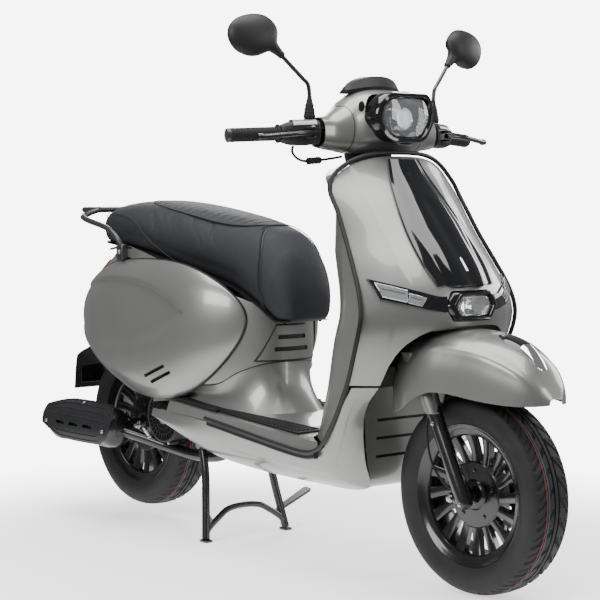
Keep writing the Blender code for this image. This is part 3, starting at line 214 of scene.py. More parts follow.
def skin(name, grid, look, body=None, nodes=(), inward=0.003, outward=0.0, flip=False, wrap=False, **extra):
    """Closed thick sheet over a grid of points."""
    rows, cols = len(grid), len(grid[0])
    sign = -1.0 if flip else 1.0
    outer, inner = [], []
    for i in range(rows):
        for j in range(cols):
            down = grid[min(i + 1, rows - 1)][j] - grid[max(i - 1, 0)][j]
            if wrap:
                across = grid[i][(j + 1) % cols] - grid[i][(j - 1) % cols]
            else:
                across = grid[i][min(j + 1, cols - 1)] - grid[i][max(j - 1, 0)]
            n = across.cross(down).normalized() * sign
            outer.append(grid[i][j] + n * outward)
            inner.append(grid[i][j] - n * inward)
    count = rows * cols
    last = cols if wrap else cols - 1
    faces = []
    for i in range(rows - 1):
        for j in range(last):
            a, b = i * cols + j, i * cols + (j + 1) % cols
            c, d = (i + 1) * cols + (j + 1) % cols, (i + 1) * cols + j
            faces += [(a, b, c, d), (a + count, d + count, c + count, b + count)]
    for i in (0, rows - 1):
        for j in range(last):
            a, b = i * cols + j, i * cols + (j + 1) % cols
            faces.append((a, b, b + count, a + count))
    if not wrap:
        for j in (0, cols - 1):
            for i in range(rows - 1):
                a, b = i * cols + j, (i + 1) * cols + j
                faces.append((a, b, b + count, a + count))
    return make(name, outer + inner, faces, look, body, nodes, **extra)


def block(name, low, high, look, body=None, nodes=(), bevel=0.0015, **extra):
    rings = [[vec(low[0], low[1], z), vec(high[0], low[1], z), vec(high[0], high[1], z),
              vec(low[0], high[1], z)] for z in (low[2], high[2])]
    return loft(name, rings, look, body, nodes, bevel=bevel, **extra)


def bolt(name, at, axis, look, body, r=0.006, h=0.005):
    """Flanged hexagon bolt head."""
    axis = Vector(axis).normalized()
    side = axis.orthogonal().normalized()
    up = axis.cross(side)
    at = Vector(at)
    rings = []
    for along, radius in ((0, r * 1.25), (h * 0.25, r * 1.25), (h * 0.25, r), (h * 0.9, r), (h, r * 0.85)):
        rings.append([at + axis * along + (side * cos(a) + up * sin(a)) * radius
                      for a in circle(6)])
    return loft(name, rings, look, body, bevel=r * 0.08)


def cut(obj, cutters):
    """Takes the cutters out of a piece for good and removes them."""
    for cutter in cutters:
        mod = obj.modifiers.new("cut", "BOOLEAN")
        mod.operation = "DIFFERENCE"
        mod.solver = "EXACT"
        mod.object = cutter
    bevels = [m for m in obj.modifiers if m.type == "BEVEL"]
    widths = [m.width for m in bevels]
    for m in bevels:
        obj.modifiers.remove(m)
    mesh = bpy.data.meshes.new_from_object(obj.evaluated_get(bpy.context.evaluated_depsgraph_get()))
    obj.modifiers.clear()
    obj.data = mesh
    for cutter in cutters:
        bpy.data.objects.remove(cutter, do_unlink=True)
    mesh.shade_smooth()
    mesh.set_sharp_from_angle(angle=radians(SHARP))
    for width in widths:
        soften_edges(obj, width, SHARP)
    return obj


def grid_of(function, across, down):
    return [[function(a, d) for a in across] for d in down]


# ---- materials --------------------------------------------------------------------------
def finish(name, colour, rough, metal=0.0, coat=0.0, vary=0.08, grain=0.0, scale=400.0, pattern="NOISE",
           rough_vary=0.08, transmission=0.0, emission=0.0, stretch=(1, 1, 1), spec=0.5, dust=0.0):
    """Procedural finish: mottled colour and roughness, and a fine relief."""
    mat = bpy.data.materials.new(name)
    mat.use_nodes = True
    nodes, links = mat.node_tree.nodes, mat.node_tree.links
    shader = nodes["Principled BSDF"]
    shader.inputs["Metallic"].default_value = metal
    shader.inputs["Coat Weight"].default_value = coat
    shader.inputs["Coat Roughness"].default_value = 0.04
    shader.inputs["Transmission Weight"].default_value = transmission
    shader.inputs["Specular IOR Level"].default_value = spec
    where = nodes.new("ShaderNodeTexCoord")
    place = nodes.new("ShaderNodeMapping")
    place.inputs["Scale"].default_value = stretch
    links.new(where.outputs["Object"], place.inputs["Vector"])
    cloud = nodes.new("ShaderNodeTexNoise")
    cloud.inputs["Scale"].default_value = 9.0
    cloud.inputs["Detail"].default_value = 6.0
    links.new(place.outputs["Vector"], cloud.inputs["Vector"])
    ramp = nodes.new("ShaderNodeValToRGB")
    ramp.color_ramp.elements[0].position = 0.30
    ramp.color_ramp.elements[1].position = 0.72
    low = [c * (1 - vary) for c in colour]
    high = [min(c * (1 + vary) + dust, 1.0) for c in colour]
    ramp.color_ramp.elements[0].color = (*low, 1)
    ramp.color_ramp.elements[1].color = (*high, 1)
    links.new(cloud.outputs["Fac"], ramp.inputs["Fac"])
    links.new(ramp.outputs["Color"], shader.inputs["Base Color"])
    fine = nodes.new("ShaderNodeTexNoise")
    fine.inputs["Scale"].default_value = 45.0
    fine.inputs["Detail"].default_value = 4.0
    links.new(place.outputs["Vector"], fine.inputs["Vector"])
    span = nodes.new("ShaderNodeMapRange")
    span.inputs["To Min"].default_value = max(rough - rough_vary, 0.02)
    span.inputs["To Max"].default_value = min(rough + rough_vary, 1.0)
    links.new(fine.outputs["Fac"], span.inputs["Value"])
    links.new(span.outputs["Result"], shader.inputs["Roughness"])
    if emission:
        shader.inputs["Emission Color"].default_value = (*colour, 1)
        shader.inputs["Emission Strength"].default_value = emission
    if grain:
        if pattern == "VORONOI":
            relief = nodes.new("ShaderNodeTexVoronoi")
            relief.feature = "DISTANCE_TO_EDGE"
            height = relief.outputs["Distance"]
        else:
            relief = nodes.new("ShaderNodeTexNoise")
            relief.inputs["Detail"].default_value = 3.0
            height = relief.outputs["Fac"]
        relief.inputs["Scale"].default_value = scale
        links.new(place.outputs["Vector"], relief.inputs["Vector"])
        bump = nodes.new("ShaderNodeBump")
        bump.inputs["Strength"].default_value = grain
        bump.inputs["Distance"].default_value = 0.0006
        links.new(height, bump.inputs["Height"])
        links.new(bump.outputs["Normal"], shader.inputs["Normal"])
    return mat


PAINT = finish("paint_warm_grey", (0.205, 0.207, 0.194), 0.36, 0.62, 0.7, vary=0.03, rough_vary=0.03)
GLOSS = finish("gloss_black", (0.004, 0.004, 0.005), 0.08, 0.0, 0.5, rough_vary=0.03, spec=0.4)
MATTE = finish("matte_black_plastic", (0.011, 0.011, 0.012), 0.50, grain=0.22, scale=1500, dust=0.002,
               spec=0.3)
RUBBER = finish("black_rubber", (0.010, 0.010, 0.011), 0.66, grain=0.22, scale=700, dust=0.003, spec=0.25)
TYRE = finish("tyre_rubber", (0.011, 0.011, 0.012), 0.62, grain=0.28, scale=500, dust=0.004, vary=0.2,
              spec=0.28)
RIM = finish("satin_black_rim", (0.006, 0.006, 0.007), 0.24, 0.2, 0.4, grain=0.10, scale=600)
BLACK = finish("black_enamel", (0.008, 0.008, 0.009), 0.26, 0.2, 0.3, grain=0.08, scale=500)
CAST = finish("cast_aluminium", (0.16, 0.16, 0.17), 0.48, 0.9, grain=0.45, scale=900, vary=0.15)
STEEL = finish("brushed_steel", (0.42, 0.42, 0.43), 0.28, 1.0, grain=0.15, scale=260, stretch=(1, 14, 1))
CHROME = finish("chrome", (0.80, 0.80, 0.82), 0.07, 1.0, rough_vary=0.03, vary=0.02)
VINYL = finish("seat_vinyl", (0.017, 0.018, 0.021), 0.66, grain=0.30, scale=620, pattern="VORONOI",
               vary=0.12, spec=0.3)
VINYL_RIB = finish("seat_insert", (0.022, 0.023, 0.026), 0.72, grain=0.45, scale=420, pattern="VORONOI",
                   vary=0.15, spec=0.3)
CLEAR = finish("clear_lens", (0.92, 0.93, 0.94), 0.04, 0.0, 0.5, transmission=0.93, rough_vary=0.02,
               vary=0.02)
SMOKE = finish("smoked_lens", (0.10, 0.10, 0.11), 0.06, 0.0, 0.9, transmission=0.25, rough_vary=0.02)
GLASS = finish("mirror_glass", (0.75, 0.77, 0.80), 0.03, 1.0, rough_vary=0.01, vary=0.02)
RED = finish("red_lens", (0.42, 0.010, 0.010), 0.10, 0.0, 0.8, transmission=0.2, rough_vary=0.03)
AMBER = finish("amber_lens", (0.80, 0.30, 0.03), 0.12, 0.0, 0.8, transmission=0.2, rough_vary=0.03)
WHITE = finish("light_strip", (0.80, 0.82, 0.85), 0.20, emission=0.8, rough_vary=0.04)
GREY = finish("grey_tube", (0.040, 0.040, 0.042), 0.36, 0.5, 0.3, grain=0.12, scale=500)
TEAL = finish("tyre_line_teal", (0.02, 0.16, 0.17), 0.6, rough_vary=0.1)
SCARLET = finish("tyre_line_red", (0.35, 0.02, 0.02), 0.6, rough_vary=0.1)


# ---- wheels ------------------------------------------------------------------------------
# blocks of tread round a tyre, and steps of its mesh
TREAD_BLOCKS = 32
TYRE_STEPS = 448


def tread_radius(y, turn, base):
    """Tyre surface with angled grooves cut across the shoulders and a line down the middle."""
    depth = 0.0
    block_turns = turn * TREAD_BLOCKS / (2 * pi) + abs(y) * 26.0
    wave = (block_turns + (0.5 if y > 0 else 0)) % 1.0
    if 0.010 < abs(y) < 0.050 and wave < 0.24:
        depth = 0.0040
    second = (block_turns + (0.0 if y > 0 else 0.5)) % 1.0
    if 0.026 < abs(y) < 0.050 and second < 0.16:
        depth = 0.0030
    if 0.0045 < abs(y) < 0.0085:
        depth = 0.0040
    return base - depth


def tyre_piece(name, axle, body, node):
    stations = ((-0.0395, 0.1555), (-0.0455, 0.1640), (-0.0500, 0.1700), (-0.0565, 0.1820),
                (-0.0595, 0.1930), (-0.0600, 0.2030), (-0.0588, 0.2110), (-0.0560, 0.2180),
                (-0.0515, 0.2240), (-0.0460, 0.2280), (-0.0430, 0.2295), (-0.0400, 0.2308),
                (-0.0365, 0.2320), (-0.0330, 0.2330), (-0.0300, 0.2338), (-0.0270, 0.2344),
                (-0.0240, 0.2349), (-0.0215, 0.2353), (-0.0180, 0.2357), (-0.0150, 0.2360),
                (-0.0115, 0.2362), (-0.0088, 0.2363), (-0.0082, 0.2363), (-0.0048, 0.2364),
                (-0.0042, TYRE_R), (0.0, TYRE_R))
    profile = list(stations) + [(-y, r) for y, r in reversed(stations[:-1])]
    inner = [(0.030, 0.1555), (0.046, 0.192), (0.038, 0.218), (-0.038, 0.218), (-0.046, 0.192),
             (-0.030, 0.1555)]
    rings = []
    for i in range(TYRE_STEPS):
        a = 2 * pi * i / TYRE_STEPS
        out = vec(cos(a), 0, sin(a))
        ring = []
        for y, r in profile:
            rr = tread_radius(y, a, r) if r > 0.222 else r
            ring.append(axle + out * rr + vec(0, y, 0))
        ring += [axle + out * r + vec(0, y, 0) for y, r in inner]
        rings.append(ring)
    loft(name + "_tread", rings, TYRE, body, [node], closed=True, sharp=30)
    for tag, y, r, look in (("teal", -0.0235, 0.2351, TEAL), ("red", -0.0290, 0.2341, SCARLET)):
        ring = [(y - 0.0005, r - 0.0010), (y + 0.0005, r - 0.0010), (y + 0.0005, r + 0.0002),
                (y - 0.0005, r + 0.0002)]
        turned(name + "_line_" + tag, ring, axle, Y_AXIS, look, body, steps=192)


def rim_piece(name, axle, body, node):
    barrel = ((-0.0485, 0.1690), (-0.0500, 0.1675), (-0.0490, 0.1650), (-0.0440, 0.1600), (-0.0400, 0.1520),
              (-0.0385, 0.1440), (-0.0340, 0.1405), (0.0340, 0.1405), (0.0385, 0.1440), (0.0400, 0.1520),
              (0.0440, 0.1600), (0.0490, 0.1650), (0.0500, 0.1675), (0.0485, 0.1690), (0.0440, 0.1640),
              (0.0380, 0.1545), (-0.0380, 0.1545), (-0.0440, 0.1640))
    turned(name + "_barrel", barrel, axle, Y_AXIS, RIM, body, [node], steps=128)
    hub = ((-0.0330, 0.0100), (-0.0330, 0.0300), (-0.0310, 0.0330), (-0.0262, 0.0370), (-0.0250, 0.0760),
           (-0.0215, 0.0800), (0.0120, 0.0800), (0.0160, 0.0620), (0.0380, 0.0400), (0.0400, 0.0300),
           (0.0400, 0.0100))
    turned(name + "_hub", hub, axle, Y_AXIS, RIM, body, steps=96)
    blades = 16
    for i in range(blades):
        a0 = 2 * pi * i / blades
        rings = []
        for t in unit(7):
            r = 0.076 + 0.068 * t
            sweep = a0 + 0.10 * t
            half = (0.0112 + 0.0040 * t - 0.0012 * sin(t * pi)) / r
            face = -0.0225 - 0.0110 * t + 0.003 * sin(t * pi)
            ring = []
            for da, y in ((-half, face + 0.002), (-half * 0.7, face), (half * 0.7, face),
                          (half, face + 0.002), (half * 0.8, face + 0.020), (-half * 0.8, face + 0.020)):
                ring.append(axle + vec(r * cos(sweep + da), y, r * sin(sweep + da)))
            rings.append(ring)
        loft("%s_blade_%02d" % (name, i), rings, RIM, body, bevel=0.0008)
    for i in range(5):
        a = 2 * pi * i / 5 + 0.3
        at = axle + vec(0.058 * cos(a), -0.0254, 0.058 * sin(a))
        bolt("%s_bolt_%d" % (name, i), at, (0, -1, 0), BLACK, body, r=0.0045, h=0.003)


for label, axle in (("front", FRONT), ("rear", REAR)):
    tyre_piece(label, axle, label + "_wheel", label + "_tyre")
    rim_piece(label, axle, label + "_wheel", label + "_rim")

slots = []
for i in range(12):
    a = 2 * pi * i / 12
    for r in (0.060, 0.078):
        c = FRONT + vec(r * cos(a + r * 8), 0, r * sin(a + r * 8))
        slots.append(tube("hole", [c + vec(0, 0.030, 0), c + vec(0, 0.060, 0)], 0.0045, None, sides=12))
ring = ((0.0425, 0.034), (0.0465, 0.034), (0.0465, 0.095), (0.0425, 0.095))
cut(turned("front_disc", ring, FRONT, Y_AXIS, STEEL, "front_wheel", ["brake_disc"], steps=96), slots)
rings = []
for angle in np.linspace(148, 197, 12):
    a = radians(angle)
    out = vec(cos(a), 0, sin(a))
    swell = 0.004 * sin((angle - 148) / 49 * pi)
    section = ((0.052, 0.040), (0.052, 0.116), (0.056, 0.120), (0.064 + swell, 0.116), (0.068 + swell, 0.100),
               (0.068 + swell, 0.056), (0.062, 0.040))
    rings.append([FRONT + out * r + vec(0, y, 0) for y, r in section])
loft("caliper_body", rings, CAST, "fork_lower", ["brake_caliper"], bevel=0.002)


# ---- fork ----------------------------------------------------------------------------------
def leg_at(along, y):
    p = LEG_FOOT + UP * along
    return vec(p.x, y, p.z)


def steer_at(z):
    return STEER + UP * ((z - STEER.z) / UP.z)


for label, side in SIDES:
    y = side * 0.093
    stations = ((-0.018, 0.0150), (-0.014, 0.0180), (0.000, 0.0195), (0.060, 0.0192), (0.170, 0.0182),
                (0.205, 0.0182), (0.212, 0.0196), (0.240, 0.0196), (0.245, 0.0180))
    tube("slider_" + label, [leg_at(s, y) for s, _ in stations], [r for _, r in stations], BLACK,
         "fork_lower", ["fork_sliders"] if side < 0 else [], sides=32, bevel=0.001)
    tube("dust_seal_" + label, [leg_at(s, y) for s in (0.243, 0.246, 0.254, 0.257)],
         [0.0165, 0.0185, 0.0175, 0.0155], RUBBER, "fork_lower", sides=28)
    lug = [leg_at(-0.020, y), leg_at(-0.006, y) + vec(-0.004, 0, 0), FRONT + vec(0.006, y, 0.002),
           FRONT + vec(-0.012, y, 0)]
    tube("axle_lug_" + label, lug, [0.0130, 0.0150, 0.0145, 0.0110], BLACK, "fork_lower", sides=20,
         bevel=0.002)
    bolt("axle_nut_" + label, FRONT + vec(0, y + side * 0.012, 0), (0, side, 0), STEEL, "fork_lower",
         0.0085, 0.006)
    bolt("pinch_bolt_" + label, leg_at(-0.010, y + side * 0.016), (0, side, 0), STEEL, "fork_lower", 0.0050,
         0.005)
    bolt("mudguard_bolt_" + label, leg_at(0.190, y + side * 0.0178), (0, side, 0), STEEL, "fork_lower",
         0.0045, 0.004)
tube("axle_bar", [FRONT + vec(0, -0.104, 0), FRONT + vec(0, 0.104, 0)], 0.0085, STEEL, "fork_lower")
drive = ((-0.074, 0.0092), (-0.074, 0.0180), (-0.068, 0.0240), (-0.056, 0.0260), (-0.053, 0.0260),
         (-0.053, 0.0092))
turned("speedometer_drive", drive, FRONT, Y_AXIS, BLACK, "fork_lower", steps=40)
route = ((0.650, -0.066, 0.2440), (0.618, -0.070, 0.262), (0.588, -0.078, 0.305), (0.578, -0.084, 0.360),
         (0.580, -0.086, 0.420), (0.585, -0.086, 0.460))
tube("speedometer_cable", path(route, 30), 0.0027, RUBBER, "fork_lower", sides=12)
for node in ("fork_yoke", "frame", "handlebar"):
    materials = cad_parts[node].data.materials
    materials.clear()
    materials.append(BLACK)


# ---- front fender ---------------------------------------------------------------------------
# x, z of the lower edge, z of the crest, half width
FENDER = ((0.478, 0.432, 0.560, 0.100), (0.500, 0.424, 0.588, 0.116), (0.540, 0.436, 0.606, 0.129),
          (0.580, 0.462, 0.613, 0.131), (0.620, 0.479, 0.616, 0.127), (0.660, 0.481, 0.617, 0.118),
          (0.700, 0.477, 0.614, 0.110), (0.740, 0.472, 0.608, 0.104), (0.780, 0.468, 0.596, 0.097),
          (0.820, 0.465, 0.576, 0.086), (0.860, 0.464, 0.545, 0.070), (0.888, 0.465, 0.510, 0.048),
          (0.904, 0.467, 0.480, 0.020))


def fender_point(x, t, proud=0.0):
    """t runs 0 at the right lower edge over the crown to 1 at the left lower edge."""
    low, crest, half = table(FENDER, x)
    a = pi * (1 - t)
    c, s = cos(a), max(sin(a), 0.0)
    y = half * power_of(c, 0.62)
    fade = clamp((0.885 - x) / 0.05)
    crease = 0.0035 * exp(-((abs(c) - 0.80) / 0.07) ** 2) * clamp((x - 0.56) / 0.08) * fade
    ridge = 0.003 * exp(-((c) / 0.22) ** 2) * fade
    z = low + (crest - low) * s ** 0.62
    out = vec(0, c * 0.8, s).normalized()
    return vec(x, y, z) + out * (crease + ridge + proud)


xs = np.r_[np.linspace(0.478, 0.84, 44), 0.84 + 0.064 * np.sin(np.linspace(0.08, pi / 2, 26))]
grid = [[fender_point(x, t) for t in unit(61)] for x in xs]
fender = skin("front_fender_shell", grid, PAINT, "steering", ["front_fender"], bevel=0.0012)
cut(fender, [tube("stem_hole", [steer_at(0.540), steer_at(0.760)], 0.040, None, sides=40)])
for label, side in SIDES:
    fork_cover = []
    for along in np.linspace(0.215, 0.372, 22):
        centre = leg_at(along, side * 0.094)
        u = (along - 0.215) / 0.157
        wide = 0.0215 + 0.010 * u
        fork_cover.append([centre + vec(cos(a) * wide * 0.9, side * sin(a) * wide, 0)
                           for a in np.linspace(-1.15, 2.2, 21)])
    skin("fork_cover_" + label, fork_cover, PAINT, "steering", inward=0.0012, outward=0.0012, flip=side < 0,
         bevel=0.0008)
scoop, tip = [], []
for x in np.linspace(0.722, 0.872, 40):
    u = (x - 0.722) / 0.150
    width = 0.070 * sin(min(u * 1.6, 1.0) * pi / 2) * (1 - u ** 3) ** 0.5 + 0.006
    scoop.append([fender_point(x, 0.5 + width * a, 0.012 * max(sin(pi * u), 0.0) ** 0.8 * (1 - a * a))
                  for a in centred(21)])
    if u > 0.60:
        tip.append([fender_point(x, 0.5 + width * 0.62 * a,
                                 0.012 * max(sin(pi * u), 0.0) ** 0.8 * (1 - a * a) + 0.0036)
                    for a in centred(13)])
skin("fender_crest", scoop, GLOSS, "steering", inward=-0.0006, outward=0.0036, bevel=0.0008)
skin("fender_crest_tip", tip, CHROME, "steering", inward=0.0010, outward=0.0012, bevel=0.0005)


# ---- headset -----------------------------------------------------------------------------------
# distance from the middle, centre x, centre z, half depth, half height
HEADSET = ((0.000, 0.303, 1.116, 0.092, 0.080), (0.040, 0.303, 1.115, 0.090, 0.079),
           (0.070, 0.301, 1.111, 0.084, 0.075), (0.095, 0.296, 1.103, 0.072, 0.066),
           (0.110, 0.292, 1.097, 0.058, 0.057), (0.150, 0.289, 1.088, 0.040, 0.043),
           (0.184, 0.293, 1.087, 0.032, 0.037))
# outline of the headlamp bezel in (y, z)
LAMP = ((-0.070, 1.184), (0.070, 1.184), (0.093, 1.156), (0.102, 1.118), (0.072, 1.074),
        (0.048, 1.062), (-0.048, 1.062), (-0.072, 1.074), (-0.102, 1.118), (-0.093, 1.156))


def rounded(outline, radius, steps=4):
    """Outline in (y, z) with its corners rounded."""
    out = []
    n = len(outline)
    for i in range(n):
        p = Vector(outline[i])
        a = (Vector(outline[i - 1]) - p)
        b = (Vector(outline[(i + 1) % n]) - p)
        r = min(radius, a.length * 0.45, b.length * 0.45)
        start, end = p + a.normalized() * r, p + b.normalized() * r
        for t in unit(steps):
            out.append(start * (1 - t) ** 2 + p * 2 * t * (1 - t) + end * t ** 2)
    return out


def lamp_ring(x, scale, bow=0.0, radius=0.022):
    ring = []
    for p in rounded(LAMP, radius):
        y, z = p.x * scale, 1.124 + (p.y - 1.124) * scale
        ring.append(vec(x + (z - 1.124) * 0.05 - bow * (y / 0.1) ** 2, y, z))
    return ring


def headset_ring(y, count=64, power=0.85):
    cx, cz, a, b = table(HEADSET, abs(y))
    ring = []
    for t in circle(count):
        c, s = cos(t), sin(t)
        ring.append(vec(cx + a * power_of(c, power), y, cz + b * power_of(s, power)))
    return ring


ys = np.linspace(-0.184, 0.184, 61)
cover = skin("headset_shell", [headset_ring(y) for y in ys], PAINT, "steering", ["headset_cover"],
             wrap=True, flip=True, bevel=0.001)
cut(cover, [loft("lamp_hole", [lamp_ring(x, 0.95) for x in (0.33, 0.46)], None),
            tube("neck_hole", [steer_at(0.990), steer_at(1.075)], 0.046, None, sides=40)])
neck = ((-0.010, 0.0540), (-0.014, 0.0570), (-0.010, 0.0600), (0.030, 0.0580), (0.062, 0.0560),
        (0.096, 0.0520), (0.096, 0.0480))
turned("headset_neck", neck, steer_at(0.984), UP, MATTE, "steering", steps=64)
bowed = ((0.392, 0.965, 0.030), (0.404, 0.985, 0.026), (0.421, 0.99, 0.022), (0.4265, 0.95, 0.018),
         (0.4240, 0.84, 0.014), (0.4120, 0.76, 0.008), (0.3960, 0.74, 0.008), (0.3860, 0.86, 0.022))
loft("headlamp_bezel", [lamp_ring(x, k, b) for x, k, b in bowed], GLOSS, "steering", ["headlight_bezel"],
     closed=True, bevel=0.0008)
loft("headlamp_glass", [lamp_ring(x, k, b) for x, k, b in ((0.4095, 0.745, 0.008), (0.4165, 0.745, 0.008),
                                                           (0.4195, 0.60, 0.004), (0.4205, 0.35, 0.002),
                                                           (0.4208, 0.10, 0.0))], CLEAR, "steering",
     ["headlight_lens"])
dish = ((0.000, 0.004), (0.003, 0.020), (0.014, 0.042), (0.030, 0.062), (0.032, 0.064), (0.0310, 0.0655),
        (0.012, 0.046), (-0.003, 0.020), (-0.004, 0.004))
turned("headlamp_reflector", dish, (0.374, 0, 1.122), X_AXIS, SMOKE, "steering", steps=64)
turned("headlamp_projector", ((0, 0.002), (0.006, 0.018), (0.016, 0.021), (0.020, 0.017), (0.024, 0.010),
                              (0.026, 0.002)), (0.376, 0, 1.122), X_AXIS, WHITE, "steering", steps=48)
turned("projector_ring", ((0.000, 0.0215), (0.022, 0.0235), (0.024, 0.0250), (0.000, 0.0265)),
       (0.376, 0, 1.122), X_AXIS, CHROME, "steering", steps=48)
rings = []
for y in np.linspace(-0.088, 0.088, 25):
    u = abs(y) / 0.088
    lift = sqrt(max(1 - u ** 2.4, 0.0))
    base = 1.199 - 1.4 * y * y
    rings.append([vec(0.232 + 0.03 * u * u, y, base - 0.004), vec(0.326 - 0.035 * u * u, y, base - 0.006),
                  vec(0.330 - 0.036 * u * u, y, base + 0.004),
                  vec(0.316 - 0.03 * u * u, y, base + 0.006 + 0.023 * lift),
                  vec(0.280, y, base + 0.008 + 0.022 * lift), vec(0.236 + 0.03 * u * u, y, base + 0.002)])
loft("instrument_visor", rings, MATTE, "steering", ["instrument_panel"], bevel=0.002)
face = [[vec(0.240 + 0.046 * t, y * (1 - 0.1 * t), 1.2035 + 0.018 * t - 1.2 * y * y)
         for y in np.linspace(-0.058, 0.058, 13)] for t in unit(7)]
skin("instrument_glass", face, SMOKE, "steering", inward=0.0, outward=0.0015, flip=True)
for label, side in SIDES:
    seam = [Vector(headset_ring(side * 0.112, 64)[k]) for k in range(0, 64, 2)]
    seam.append(seam[0])
    tube("headset_seam_" + label, seam, 0.0011, MATTE, "steering", sides=6)
    recess = [vec(0.352, side * (0.094 + 0.010 * cos(a)), 1.148 + 0.012 * sin(a))
              for a in circle(20)]
    loft("headset_dot_" + label, [recess, [p + vec(0.008, side * 0.006, 0.003) for p in recess]], MATTE,
         "steering")


# ---- handlebar, controls, mirrors --------------------------------------------------------------
GRIP_START, GRIP_END = (0.262, 0.278, 1.083), (0.215, 0.395, 1.078)


def bar_line(side):
    start = vec(GRIP_START[0], side * GRIP_START[1], GRIP_START[2])
    end = vec(GRIP_END[0], side * GRIP_END[1], GRIP_END[2])
    return start, (end - start).normalized(), end


